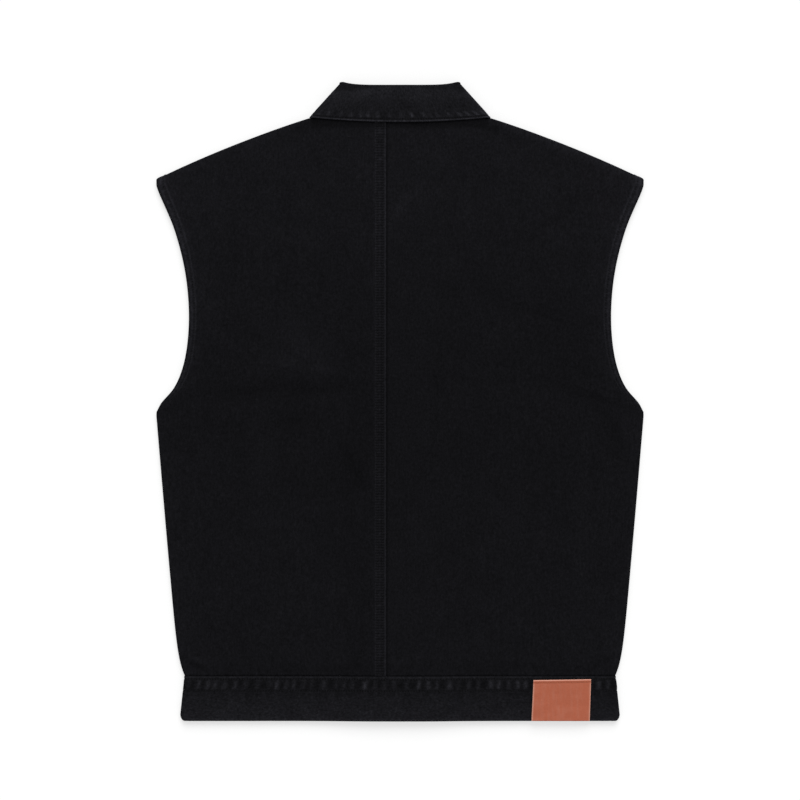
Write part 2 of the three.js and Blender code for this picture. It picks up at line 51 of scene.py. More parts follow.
# How finely the cloth is divided
PITCH = 2.4
FINE = 0.7
HEM_PITCH = FINE * 1.2
HIDDEN_PITCH = PITCH * 1.6
COLLAR_SHARE = 1
EDGE_PITCH = 0.5
TURN_STEPS = 7
MARGIN = 2
EDGE_MARGIN = 3

# Cloth
CLOTH = 1.2
COLLAR_CLOTH = 1.8
BAND_CLOTH = 2.6
STRIP_CLOTH = 2.2
SEAM_GAP = 0.3
WAIST_GAP = 0.06
SIDE_GAP = 0.18

# Outline of the back, from the middle line out
BAND_TOP = {"half": 241.7, "y": 50.4}
BAND_HEM_HALF = 246.9
HEM_CORNER = 7.5
UNDERARM = {"half": 272.5, "y": 341}
SIDE_TAPER = 0.0879
SIDE_BOW = 0.35
GATHER = {"depth": 6.3, "reach": 17}
NECK_POINT = {"half": 90, "y": 678.9}
NECK_CREST = 0.6
COLLAR_TUCK = {"half": 95, "y": 674.1}
SHOULDER = {"half": 101.4, "y": 674.2, "slope": 0.3115, "curve": 0.0005}
ARMHOLE = [
    (272.4, 345.5),
    (267.4, 354.7),
    (252.1, 372.6),
    (241.3, 399.5),
    (235.6, 444.3),
    (239.0, 498.0),
    (251.6, 549.6),
    (270.3, 594.4),
    (272.5, 602.0),
    (272.5, 604.8),
    (271.0, 606.9),
]
TIP = dict(zip(("half", "y"), ARMHOLE[-1]))
FRONT_SCOOP = 16
SCOOP_POWER = 1.5
SIDE_SHARE = 0.5

# Centre back seam and front opening
BACK_SEAM = {"x": -15.4, "width": 13.2, "stitches": (4.1, 9.8), "lap": 2.6, "lifted": 1.3}
STRIP_HALF = 19
STRIP_TOP = 599.6
BUTTON = {"radius": 8.5, "height": 2.1, "shank": 2.5, "top": 580, "bottom": 95, "count": 6, "band": 25}
BUTTONHOLE = {"length": 20, "slit": 0.8, "steps": 12}
CUT_MARGIN = 1

# The button's metal, from the middle of its face to its back: share of the radius, height
BUTTON_PROFILE = [
    (0.2, 0.22),
    (0.26, 0.55),
    (0.33, 0.6),
    (0.38, 0.3),
    (0.62, 0.12),
    (0.8, 0),
    (0.9, 0.05),
    (0.97, 0.35),
    (1, 0.945),
    (0.98, 1.575),
    (0.93, BUTTON["height"]),
]
BUTTON_MIDDLE = {"radius": 0.01, "z": 0.25}
BUTTON_FOOT = {"radius": 3.5, "blend": 2.31, "sides": 48}

# Heights of the middle of each layer
FRONT_LEVEL = CLOTH / 2
BACK_LEVEL = 4.4
BAND_LEVEL = 5.9
STRIP_LIFT = 2.4
INNER_LIFT = STRIP_LIFT + STRIP_CLOTH + SEAM_GAP
BACK_RISE = 3.6
NECK_SHARE = 0.75
WAIST_RISE = 0.7
RAMP = (22, 85)
HUMP = (22, 105)
STRIP_FADE = (608, 680)
NECK_LIFT = {"y": (560, 668), "aside": (92, 190)}
POINT_LIFT = {"below": 78, "full": 18, "aside": (108, 170)}
SEAM_TURN = 0.55
OPENING_BLEND = 0.06
NECK_BLEND = 0.02
SHARE_TO_EDGE = 0.985

# Collar
ROLL = {"middle_y": 711.4, "ear_half": 67.5, "ear_y": 714.8, "bend": 5.5}
FALL = {"middle_y": 669.8, "half": 102.1, "y": 674.7}
COLLAR_END = {"half": 13, "y": 606}
COLLAR_POINT = {"half": 86, "y": 568}
COLLAR_LEVELS = {"middle": 5.3, "stand": 1.8, "fall": 4.4}
ROLL_PUFF = 1.1
PUFF_POWER = 4
COLLAR_CURL = 0.25
EDGE_BEND = 2
NECK_OFFSET = 0.5
EAR_INSET = 0.63
COLLAR_DROOP = {"depth": 0.7, "reach": 16, "blend": 2}
COLLAR_STEPS = {"roll": 14, "leaf": 22, "back": 56, "turn": 13, "front": 36, "fewest": 3}
COLLAR_FINE_FROM = 0.8
TURN_ANGLE = 80

# Patch
PATCH_CORNERS = [(147.0, 0.4), (212.1, 0.4), (213.6, 47.0), (149.2, 46.0)]
PATCH_THICKNESS = 1.4
PATCH_LIFT = 0.25

# The largest soft folds of the back: x, y, angle from +x in degrees, length, width, depth
FOLDS = [
    (-138, 369, 2, 92, 11, -0.7),
    (-112, 415, 0, 60, 26, 0.8),
    (84, 499, -45, 44, 13, -0.7),
    (162, 456, -16, 50, 8, -0.6),
    (207, 365, -20, 62, 8, -0.6),
    (34, 379, 4, 32, 12, -0.6),
    (-46, 280, 86, 34, 8, -0.7),
    (-116, 335, 8, 26, 9, -0.5),
    (6, 582, 50, 40, 10, 0.5),
    (-152, 290, 90, 80, 12, 0.5),
    (124, 230, 91, 90, 14, 0.5),
    (204, 210, 88, 110, 12, 0.5),
    (-176, 76, -60, 24, 7, -0.6),
    (236, 322, -70, 28, 7, -0.6),
    (-110, 652, 15, 34, 7, -0.6),
    (122, 654, -17, 34, 7, -0.6),
]

# Smaller creases, also painted darker in their troughs and lighter on their ridges as painted shade
# and painted light: x, y, angle from +x, length, width, depth
CREASES = [
    (-229, 62, -27, 15, 2.6, -0.5),
    (-224, 67, -27, 14, 2.4, 0.4),
    (-250, 352, 20, 16, 4, -0.3),
    (-150, 371, 3, 60, 5, -0.15),
    (-66, 374, 8, 38, 4, -0.26),
    (-128, 400, -8, 16, 8, 0.3),
    (-90, 393, -6, 30, 6, 0.25),
    (-108, 418, 0, 40, 22, 0.12),
    (-100, 444, 0, 60, 1.6, 0.2),
    (-48, 280, 120, 28, 9, -0.42),
    # A crease at the collar's left tip, also painted as the tip's shadow
    (-108, 666, 21, 17, 3.4, -0.95),
    (-96, 656, 8, 30, 4, 0.15),
    # A crease at the collar's right tip, also painted as the tip's shadow
    (103, 662, -12, 9, 2.8, -0.5),
    (-118, 334, 10, 22, 11, -0.25),
    (176, 449, -20, 34, 3, -0.25),
    (170, 455, -20, 34, 3, 0.2),
    (228, 359, -24, 34, 3, -0.2),
    (214, 371, -18, 34, 3, 0.2),
    (205, 392, -24, 34, 3, -0.2),
    (244, 318, -62, 22, 3, -0.2),
    (7, 582, 52, 12, 5, 0.3),
    (-4, 566, 60, 10, 4, 0.25),
    (232, 68, 24, 16, 3, -0.35),
    (-196, 72, -55, 14, 3, -0.3),
    (64, 384, -6, 26, 3, -0.25),
]
DEEPEST_CREASE = {"free": -1.2, "on_strips": -0.1}
CREASE_FADE = {"seam": 12, "side": (2, 16), "gathers": (1, 10)}

# Soft unevenness of the back: kind of lumps, lean of x with y, lean of y with x, height
UNEVENNESS = [
    ("broad", 0.25, 0, 0.3),
    ("middling", -0.4, 0.15, 0.13),
    ("small", 0, 0, 0.075),
]

# Uneven lumps: size across, size up, seed
LUMPS = {
    "broad": (62, 30, 3),
    "middling": (30, 13, 5),
    "small": (9, 6, 8),
    "gather lean": (90, 90, 12),
    "gather share": (45, 45, 14),
    "back wear": (11, 16, 31),
    "front wear": (11, 16, 33),
    "strip wear": (11, 16, 35),
    "band waves": (46, 60, 55),
    "band ripples": (9, 7, 57),
    "band wear": (16, 5, 58),
    "collar waves": (34, 22, 63),
    "collar wear": (10, 9, 64),
    "patch bow": (24, 20, 71),
    "patch grain": (1.6, 1.6, 72),
    "patch wear": (9, 7, 73),
    "patch dents": (7, 6, 74),
}
LATTICE = 64

# Puckers along a seam: spacing, half width, lean with the distance off the seam, seed
PUCKERS = {
    "waist": (12, 3.1, 0, 11),
    "hem": (6.5, 1.6, 0.7, 21),
    "back seam": (6.5, 1.9, 0.3, 41),
    "band": (11.3, 2.9, -0.13, 51),
    "collar": (11, 2.2, 0.3, 61),
}
PUCKER_RANGE = {"height": (0.6, 1.2), "width": (0.8, 1.25), "spacing": (0.7, 1.3)}

# What shows on the pieces: millimetres it stands out, and tone painted into the colour: real wear
# for some, painted light and painted shade for others. The tone is 0 on plain cloth.
# At 1 the cloth is the base below times as light, and at -1 as dark.
WEAR_AND_SHADE_BASE = 3.0
LOOKS = {
    "back lumps": (0, 0.045),
    # Folds, relief and creases are also painted: painted shade in their troughs, painted light on their
    # ridges
    "folds": (0, 0.16),
    "relief": (0, 0.06),
    "painted crease light and shade": (0, 0.45),
    "gathers": (0, 0.5),
    # Painted light along the sides of the back
    "painted side light": (0, 0.19),
    # Painted shadow on the back below the collar's edge
    "painted collar shadow": (0, -0.45),
    "left shoulder": (0, 0.12),
    "right shoulder": (0, 0.34),
    "hem": (0.5, 0.1),
    "hem puckers": (0.16, 0.38),
    "near hem": (0, 0.16),
    "seam strip": (0.9, 0.1),
    "seam edge": (-0.45, 0),
    "seam ropes": (0.26, 0.5),
    # The seam dips are sunk in and painted darker, as shade in the stitch grooves
    "seam dips": (-0.26, -0.3),
    "seam shade": (0, -0.06),
    # Painted shadow in the groove beside the lapped seam edge
    "painted seam groove shadow": (0, -0.5),
    "front lumps": (0, 0.16),
    "front edge": (0, 0.4),
    "strip edge": (0, 0.5),
    "band ropes": (0.5, 1.2),
    "band slack": (0.1, 0.05),
    "band pull": (0.08, 0.1),
    # The band dips are sunk in and painted darker, as shade in the stitch grooves
    "band dips": (-0.32, -0.5),
    "band lumps": (0, 0.13),
    "band hem": (0, 0.2),
    "collar lip": (0.1, 0.08),
    "collar ropes": (0.5, 0.75),
    "collar slack": (0, 0.12),
    # The collar dip is sunk in and painted darker, as shade in the stitch groove
    "collar dip": (-0.26, -0.6),
    "collar waves": (0, 0.25),
    "collar lumps": (0, 0.14),
    "collar fall": (0, 0.14),
    "patch grain": (0.06, 0),
    "patch dents": (0.12, 0),
    # The patch dip is sunk in and painted darker, as shade in the stitch groove
    "patch dip": (-0.3, -0.8),
    "patch edge": (0, 1),
    "patch lumps": (0, 0.07),
}

# Lines along an edge: distance from it, half width, millimetres they stand out, painted tone
# (wear on some lines, painted light and painted shade on others)
HEM_LINES = [(3.0, 1.7, 0, 0.34), (8.2, 1.1, 0, 0.36), (0.2, 1.1, 0, -0.35), (6.0, 0.9, -0.24, 0)]
# Painted shade in the hem's stitch groove
HEM_LINES += [(6.0, 1.0, 0, -0.2)]
SEAM_LINES = [(1.1, 1.1, 0, 0.5), (12.3, 1.5, 0, 0.3), (7.6, 1.4, 0, 0.09), (4.8, 1.2, 0, -0.12)]
# Painted light that lifts the dark groove along the body's lower edge at the band, and a faint painted
# shade band above it
WAIST_LIGHT_AND_SHADE_LINES = [(BAND_TOP["y"], 1.5, 0, 0.45), (58.4, 5.5, 0, -0.08)]
# Band lines: a lighter top fold, painted highlight with edge wear; painted shade in the groove at its top
BAND_WEAR_LIGHT_AND_SHADE_LINES = [(48.7, 0.9, 0, 0.55), (BAND_TOP["y"], 0.6, 0, -0.15), (31, 3, 0, -0.12)]
# and below its lower stitch row; a lighter line at its hem
BAND_WEAR_LIGHT_AND_SHADE_LINES += [(1.2, 1.2, 0, 0.3)]
COLLAR_LINES = [(1.0, 1.0, 0, 1.02)]
FALL_LINES = [(18, 8, 0, -0.06)]

# Slow changes of painted tone, lighter or darker over a stretch: from, to, strength
LEFT_FADES = [(60, 300, -0.07), (400, 650, 0.22)]
RIGHT_FADES = [(60, 300, -0.07), (400, 650, 0.2)]
BAND_FADES = [(34, 38, -0.12)]
BAND_SIDE_FADES = [(-80, 120, -0.04)]
FALL_FADES = [(18, 40, 0.3)]
FALL_SIDE_FADES = [(58, 98, 0.25)]

# Middle and half width of what fades out to both sides
BUMPS = {
    "shoulder": (2.5, 5.5),
    "seam ropes": (7.0, 3.2),
    "seam shade": (32, 26),
    "band pull": (30, 7),
    "patch edge": (0.1, 1.0),
}

# Other places and widths of the same
ARMHOLE_HEM = {"width": 9.0, "blend": 0.6, "stitch": 6.0, "sewn": 1.0, "puckers": 3.6, "reach": 12}
WAIST_GATHERS = {"depth": 0.42, "reach": 13, "lean": 0.35, "even": 0.6, "uneven": 0.4}
# How far the painted light along the sides reaches
PAINTED_SIDE_LIGHT_REACH = 20
# Where the painted shadow below the collar rises, and its half width
COLLAR_SHADE = {"fade": (661, 667), "half": 100}
SHOULDER_FADE = (100, 125)
# The groove entry is where the painted shadow beside the lapped edge falls
SEAM_EDGE = {"width": 0.8, "lift": (0.6, 1.6), "groove": (1, 2.4), "blend": 1}
SEAM_DIP = 0.8
SEAM_SEWN = {"from": (1.2, 3), "even": 0.8, "at_stitch": 0.6}
SEAM_SHADE_FADE = (420, 540)
FRONT_EDGE = {"width": 1.6, "margin": 14, "pitch": 1.6}
STRIP_EDGE = {"width": 1.5, "pitch": 1.9}

# Waistband, as heights above the hem. Its seams are sewn at BAND_STITCHES
BAND_STITCHES = (46.9, 33.9)
BAND_SLACK = {"rise": (BAND_STITCHES[1], 37.9), "fall": (42.6, 48.6)}
BAND_FOOT = 34.9
BAND_PULL = {"waves": (12.5, 19.0), "seed": 52, "lean": 0.2}
BAND_DIP = 0.9
BAND_TOP_ROUND = (0.45, 1.0)
BAND_HEM_ROUND = (0.7, 1.6)
BAND_HEM_FADE = (6, 34)
BAND_WAVES = {"height": 0.3, "ripples": 0.05}
BAND_ROWS = {"rounded": 2, "plain": 30, "sewn": 49, "turn_steps": 15, "front": 1.5, "back": 0.9}

# Collar, as distances from its outer edge
COLLAR_STITCH = 3.0
COLLAR_STITCH_LINE = [(0, 0), (60, 0.6), (92, 2.6)]
COLLAR_LIP = (2.0, 3.5)
COLLAR_SLACK = {"rise": (3.0, 5.5), "fall": (8, 13)}
COLLAR_DIP = 1.1
COLLAR_ROUND = (0.55, 1.3)
COLLAR_FALL = {"fade": (37, 43), "waves": (0, 8), "height": 0.35}

# Patch, as distances from its edges
PATCH_STITCH = 3.0
PATCH_STITCH_ENDS = (0.03, 0.97)
PATCH_DIP = 0.9
PATCH_BOW = 0.25
PATCH_HEM_MARGIN = 1.5
PATCH_ROUND = (0.5, 1.2)

# Small bar tacks below the collar: x, y
TACKS = [(-57.1, 653.7), (-57.1, 639.2), (11.8, 653.2), (12.9, 638.1)]
TACK = {"pitch": 12, "length": 2.6, "width": 1.7, "height": 0.3}

# Stitches, and one stitch's form: share of its length, share of its full size
STITCH = {"pitch": 3.0, "length": 2.3, "width": 0.5, "height": 0.34}
PATCH_THREAD = {"pitch": 2.8, "length": 2.1, "width": 0.7, "height": 0.5}
STITCH_FORM = [(0, 0.35), (0.25, 1), (0.75, 1), (1, 0.35)]
STITCH_RING = [(1, 0), (0.5, 1), (-0.5, 1), (-1, 0)]
STITCH_SINK = 0.25
DROP_FROM = 50
SEWN_MARGIN = {"waist": 1, "collar": 4, "armhole": 8, "side": 4, "strip": 8}

# Colours, as linear red, green and blue
DENIM = (0.0046, 0.00455, 0.0056)
BAND_DENIM = (0.006, 0.00595, 0.0072)
THREAD = (0.0105, 0.0104, 0.0119)
TACK_THREAD = (0.0085, 0.0084, 0.0098)
TAN_THREAD = (0.40, 0.12, 0.06)
LEATHER = (0.372, 0.096, 0.048)
LEATHER_EDGE = (0.43, 0.23, 0.175)
METAL = (0.10, 0.092, 0.085)
FLOOR = (0.42, 0.42, 0.42)
WHITE = (1, 1, 1, 1)

# Finishes: roughness, specular level
DENIM_FINISH = (0.92, 0.05)
THREAD_FINISH = (0.8, 0.05)
LEATHER_FINISH = (0.62, 0.25)
METAL_FINISH = (0.38, 0.5)
FLOOR_FINISH = (0.9, 0.1)

# Grain of the denim: lumps to a millimetre, detail, darkest, lightest, follows the cloth's coarseness
GRAIN = {
    "threads": ((2.2, 1.3, 1.0), 1.0, 0.62, 1.42, False),
    "streaks": ((0.75, 0.07, 1.0), 3.0, 0.78, 1.22, False),
    "flecks": ((0.6, 0.4, 1.0), 2.0, 0.2, 1.8, True),
    "slubs": ((0.36, 0.26, 1.0), 2.0, 0.25, 1.75, True),
    "blotches": ((0.022, 0.03, 1.0), 3.0, 0.86, 1.14, False),
}
COARSENESS = {"denim": 0.7, "band": 1.0}
TWILL = {"pitch": 1.1, "across": 0.86, "up": 0.5, "shade": (0.82, 1.18)}
TWILL_WOBBLE = {"cells": (0.5, 0.16, 0.5), "detail": 2.0, "strength": 1.4}
DENIM_RELIEF = {"rib": 0.05, "threads": 0.12, "strength": 0.55, "depth": 1}
WORN_THREADS = (0.6, 1.5)
STITCH_BEAT = 0.3
STRANDS = {"cells": (900.0, 900.0, 900.0), "detail": 2.0, "shade": (0.6, 1.5)}
MOTTLE = {"cells": (0.35, 0.06, 1.0), "detail": 4.0, "share": (-0.18, 0.24), "wear_and_shade": 0.8}
PORES = {"cells": (2.6, 2.6, 1.0), "detail": 3.0, "shade": (0.78, 1.16), "strength": 0.5, "depth": 0.25}
LEATHER_WEAR_AND_SHADE_BASE = 1.5
TARNISH = {"cells": (700.0, 700.0, 700.0), "detail": 3.0, "shade": (0.7, 1.4)}

# Camera, floor and light
CAMERA = {"lens": 85, "sensor": 36, "far": 20}
FRAME_WIDTH = 896
PHOTO_MIDDLE_Y = 359.2
FLOOR_SIZE = 3000
FLOOR_DROP = 0.2
FLOOR_GLOW = 0.56
SUN = {"from": (0.25, 2.1, 1.7), "softness": 45, "strength": 2.35}
WORLD_LIGHT = 0.62


def lerp(a, b, t):
    return a + (b - a) * t


def smooth(low, high, value):
    """Rises from 0 at low to 1 at high, without a corner."""
    t = np.clip((value - low) / (high - low), 0, 1)
    return t * t * (3 - 2 * t)


def vectors(*parts):
    """Joins arrays of x, y and so on into one array of vectors."""
    return np.stack(parts, -1)


def plateau(value, rise, fall):
    return smooth(*rise, value) * (1 - smooth(*fall, value))


def bump(value, centre, width):
    return np.exp(-(((value - centre) / width) ** 2))


def bumps(value, centres, width):
    return sum(bump(value, centre, width) for centre in centres)


def rounded(from_edge, depth, reach):
    return -depth * (1 - smooth(0, reach, from_edge)) ** 2


def waves(value, wavelengths, seed):
    """An irregular wave along a line, between about -1 and 1."""
    rng = np.random.default_rng(seed)
    total = sum(np.sin(2 * math.pi * value / w + rng.uniform(0, 2 * math.pi)) for w in wavelengths)
    return total / len(wavelengths) ** 0.5


def puckers(kind, along, off_seam):
    """A row of unevenly spaced bumps along a seam, less their average."""
    spacing, width, lean, seed = PUCKERS[kind]
    value = along + lean * off_seam
    rng = np.random.default_rng(seed)
    place = float(np.min(value)) - spacing
    total = np.zeros_like(value)
    while place < np.max(value) + spacing:
        height = rng.uniform(*PUCKER_RANGE["height"])
        total += height * bump(value, place, width * rng.uniform(*PUCKER_RANGE["width"]))
        place += spacing * rng.uniform(*PUCKER_RANGE["spacing"])
    return total - sum(PUCKER_RANGE["height"]) / 2 * math.sqrt(math.pi) * width / spacing


def lumps(kind, x, y):
    """Smooth noise between -1 and 1, whose lumps are about one cell in size."""
    cell_x, cell_y, seed = LUMPS[kind]
    lattice = np.random.default_rng(seed).uniform(-1, 1, (LATTICE, LATTICE))
    column, row = x / cell_x, y / cell_y
    i, j = np.floor(column).astype(int), np.floor(row).astype(int)
    s, t = smooth(0, 1, column - i), smooth(0, 1, row - j)

    def at(di, dj):
        return lattice[(i + di) % LATTICE, (j + dj) % LATTICE]

    return lerp(lerp(at(0, 0), at(1, 0), s), lerp(at(0, 1), at(1, 1), s), t)


def look(name, amount):
    """How far a feature stands out and how much lighter or darker it is painted, as a pair that adds to
    others.
    """
    return np.multiply.outer(LOOKS[name], amount)


def lines(value, rows):
    """The same for lines along an edge."""
    return sum(np.multiply.outer(pair, bump(value, place, width)) for place, width, *pair in rows)


def fades(value, rows):
    """The same for slow changes of painted tone."""
    return sum(np.multiply.outer((0, wear_and_shade), smooth(low, high, value)) for low, high, wear_and_shade in rows)


def stations(*parts):
    """Joins (from, to, pitch) stretches into one rising list of places."""
    places = []
    for start, end, pitch in parts:
        count = max(1, round((end - start) / pitch))
        places.extend(np.linspace(start, end, count + 1)[:-1])
    places.append(parts[-1][1])
    return np.array(places)


# Outline of one half of the body
def side_half(y):
    pulled_in = GATHER["depth"] * np.exp(-(y - BAND_TOP["y"]) / GATHER["reach"])
    bow = SIDE_BOW * np.sin(math.pi * (y - BAND_TOP["y"]) / (UNDERARM["y"] - BAND_TOP["y"]))
    return UNDERARM["half"] - SIDE_TAPER * (UNDERARM["y"] - y) - pulled_in + bow


def shoulder_y(half):
    out = half - SHOULDER["half"]
    outline = SHOULDER["y"] - SHOULDER["slope"] * out - SHOULDER["curve"] * out * out
    share = (half - NECK_POINT["half"]) / (COLLAR_TUCK["half"] - NECK_POINT["half"])
    tucked = lerp(NECK_POINT["y"], COLLAR_TUCK["y"], share)
    return np.minimum(outline, np.maximum(tucked, COLLAR_TUCK["y"]))


def band_half(y):
    straight = lerp(BAND_HEM_HALF, BAND_TOP["half"], y / BAND_TOP["y"])
    into_corner = np.maximum(0, HEM_CORNER - y)
    return straight - (HEM_CORNER - np.sqrt(HEM_CORNER**2 - into_corner**2))


def smooth_curve(points, per_stretch=40):
    """A centripetal curve through the points, as closely spaced points and the length up to each."""
    p = np.array(points, float)
    p = np.vstack([2 * p[0] - p[1], p, 2 * p[-1] - p[-2]])
    t = np.linspace(0, 1, per_stretch, endpoint=False)[:, None]
    curve = []
    for a, b, c, d in zip(p, p[1:], p[2:], p[3:]):
        ab, bc, cd = (np.linalg.norm(q - r) ** 0.5 for q, r in ((b, a), (c, b), (d, c)))
        start = ((b - a) / ab - (c - a) / (ab + bc) + (c - b) / bc) * bc
        end = ((c - b) / bc - (d - b) / (bc + cd) + (d - c) / cd) * bc
        second = 3 * (c - b) - 2 * start - end
        third = 2 * (b - c) + start + end
        curve.append(b + start * t + second * t**2 + third * t**3)
    curve = np.vstack(curve + [p[-2:-1]])
    return curve, lengths_along(curve)


def lengths_along(line):
    """The length of a line of points up to each of them."""
    return np.concatenate([[0], np.cumsum(np.linalg.norm(np.diff(line, axis=0), axis=1))])


ARM_CURVE, ARM_LENGTH = smooth_curve(ARMHOLE)


def side_edge(v, scoop):
    """The side from the waist (0) past the underarm to the shoulder tip (1)."""
    seam_y = lerp(BAND_TOP["y"] + WAIST_GAP, ARMHOLE[0][1], np.minimum(v / SIDE_SHARE, 1))
    seam_x = side_half(np.minimum(seam_y, UNDERARM["y"]))
    t = np.clip((v - SIDE_SHARE) / (1 - SIDE_SHARE), 0, 1)
    arm_x = np.interp(t * ARM_LENGTH[-1], ARM_LENGTH, ARM_CURVE[:, 0])
    arm_y = np.interp(t * ARM_LENGTH[-1], ARM_LENGTH, ARM_CURVE[:, 1])
    arm_x = arm_x - scoop * np.sin(math.pi * t) ** SCOOP_POWER
    on_seam = v <= SIDE_SHARE
    return vectors(np.where(on_seam, seam_x, arm_x), np.where(on_seam, seam_y, arm_y))


def top_edge(u, neck_share, neck_line):
    """The top from the middle (0) along the neckline and the shoulder to the tip (1)."""
    neck = neck_line(np.clip(u / neck_share, 0, 1))
    x = lerp(NECK_POINT["half"], TIP["half"], np.clip((u - neck_share) / (1 - neck_share), 0, 1))
    shoulder = vectors(x, shoulder_y(x))
    return np.where((u <= neck_share)[..., None], neck, shoulder)


# Heights of the middles of the layers
def fold_height(x, y, folds):
    total = np.zeros_like(x)
    for fold_x, fold_y, angle, length, width, depth in folds:
        a = math.radians(angle)
        along = (x - fold_x) * math.cos(a) + (y - fold_y) * math.sin(a)
        across = -(x - fold_x) * math.sin(a) + (y - fold_y) * math.cos(a)
        total += depth * np.exp(-((along / length) ** 2) - (across / width) ** 2)
    return total


def collar_share(x, y):
    raised = smooth(COLLAR_POINT["y"] - POINT_LIFT["below"], COLLAR_POINT["y"] - POINT_LIFT["full"], y)
    return raised * (1 - smooth(*POINT_LIFT["aside"], np.abs(x)))


def front_height(x, y, strip_lift):
    near_strip = 1 - smooth(*RAMP, np.abs(x))
    return FRONT_LEVEL + np.maximum(strip_lift * near_strip, STRIP_LIFT * collar_share(x, y))


def back_hump(x):
    return 1 - smooth(*HUMP, np.abs(x))


def back_height(x, y):
    strips = back_hump(x) * (1 - smooth(*STRIP_FADE, y))
    aside = smooth(*NECK_LIFT["aside"], np.abs(x))
    neck = NECK_SHARE * smooth(*NECK_LIFT["y"], y) * (1 - aside)
    lift = BACK_RISE * (1 - (1 - strips) * (1 - neck))
    waist = WAIST_RISE * np.exp(-(y - BAND_TOP["y"]) / GATHER["reach"])
    return BACK_LEVEL + lift + waist


# Meshes
def placed(points):
    """Drawn millimetres to the frame's metres."""
    moved = np.array(points, float) * MM
    moved[..., 1] += HEM_Y
    return moved


def added(name, data):
    obj = bpy.data.objects.new(name, data)
    bpy.context.scene.collection.objects.link(obj)
    return obj


def new_object(name, vertices, faces, material):
    mesh = bpy.data.meshes.new(name)
    mesh.from_pydata(vertices.tolist(), [], [list(map(int, f)) for f in faces])
    mesh.polygons.foreach_set("use_smooth", [True] * len(mesh.polygons))
    mesh.materials.append(material)
    mesh.update()
    return added(name, mesh)


def tube_faces(sections, sides):
    """The faces of a closed tube whose points are listed ring by ring."""
    last = (sections - 1) * sides
    faces = [list(range(sides))[::-1], [last + k for k in range(sides)]]
    for low in range(0, last, sides):
        for k in range(sides):
            after = (k + 1) % sides
            faces.append([low + k, low + after, low + after + sides, low + k + sides])
    return faces


def rim_of(grid):
    """The outer row of a grid, once round."""
    return np.concatenate([grid[0, :], grid[1:, -1], grid[-1, -2::-1], grid[-2:0:-1, 0]])


def store(obj, name, values):
    """Keeps one number or one vector for each vertex, for the material to read."""
    values = np.asarray(values, float)
    kind, field = ("FLOAT", "value") if values.ndim == 1 else ("FLOAT_VECTOR", "vector")
    attribute = obj.data.attributes.new(name, kind, "POINT")
    attribute.data.foreach_set(field, values.ravel())


def surface_normals(grid):
    across = np.gradient(grid, axis=1)
    up = np.gradient(grid, axis=0)
    normal = np.cross(across, up)
    return normal / np.maximum(np.linalg.norm(normal, axis=-1, keepdims=True), 1e-9)


def wall(name, grid, thickness, material, looks, cloth=None, sewn_along=None, hollowed=0.0):
    """A closed wall round a grid of middle points. Its outer side has the given looks, and its inner
    side is cut back by `hollowed`."""
    rows, columns = grid.shape[:2]
    normal = surface_normals(grid)
    raised, wear_and_shade = looks
    outer = grid + normal * (thickness / 2 + raised)[..., None]
    hollowed = np.broadcast_to(hollowed, (rows, columns))[..., None]
    inner = grid - normal * (thickness / 2 - hollowed)
    layer = rows * columns
    number = np.arange(layer).reshape(rows, columns)
    a, b, c, d = number[:-1, :-1], number[:-1, 1:], number[1:, 1:], number[1:, :-1]
    top = vectors(a, b, c, d).reshape(-1, 4)
    rim = rim_of(number)
    after = np.roll(rim, -1)
    sides = vectors(rim, rim + layer, after + layer, after)
    faces = np.vstack([top, top[:, ::-1] + layer, sides])
    points = np.vstack([outer.reshape(-1, 3), inner.reshape(-1, 3)])
    points[:, 1:] = np.maximum(points[:, 1:], 0)
    obj = new_object(name, placed(points), faces, material)
    # The tone painted into the colour: real wear together with painted light and painted shade
    store(obj, "wear_and_shade", np.concatenate([wear_and_shade.ravel(), wear_and_shade.ravel() * 0]))
    if cloth is None:
        cloth = grid
    store(obj, "cloth", np.vstack([cloth.reshape(-1, 3)] * 2))
    if sewn_along is not None:
        along, weight = (np.broadcast_to(part, (rows, columns)).ravel() for part in sewn_along)
        pull = vectors(along, weight, weight * 0)
        store(obj, "sewn", np.vstack([pull, pull * 0]))
    return obj


def clipped(looks):
    return np.stack([looks[0], np.clip(looks[1], -1, 1)])


def soft(obj, node, slot, flat, area, rests_on, extras=()):
    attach(obj, "root")
    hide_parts(node)


# Body panels
def fold_stations(radius, count):
    start = math.asin(SIDE_GAP / radius)
    angles = np.linspace(start, math.pi / 2, count)
    return radius * (1 - np.cos(angles)), np.sin(angles)


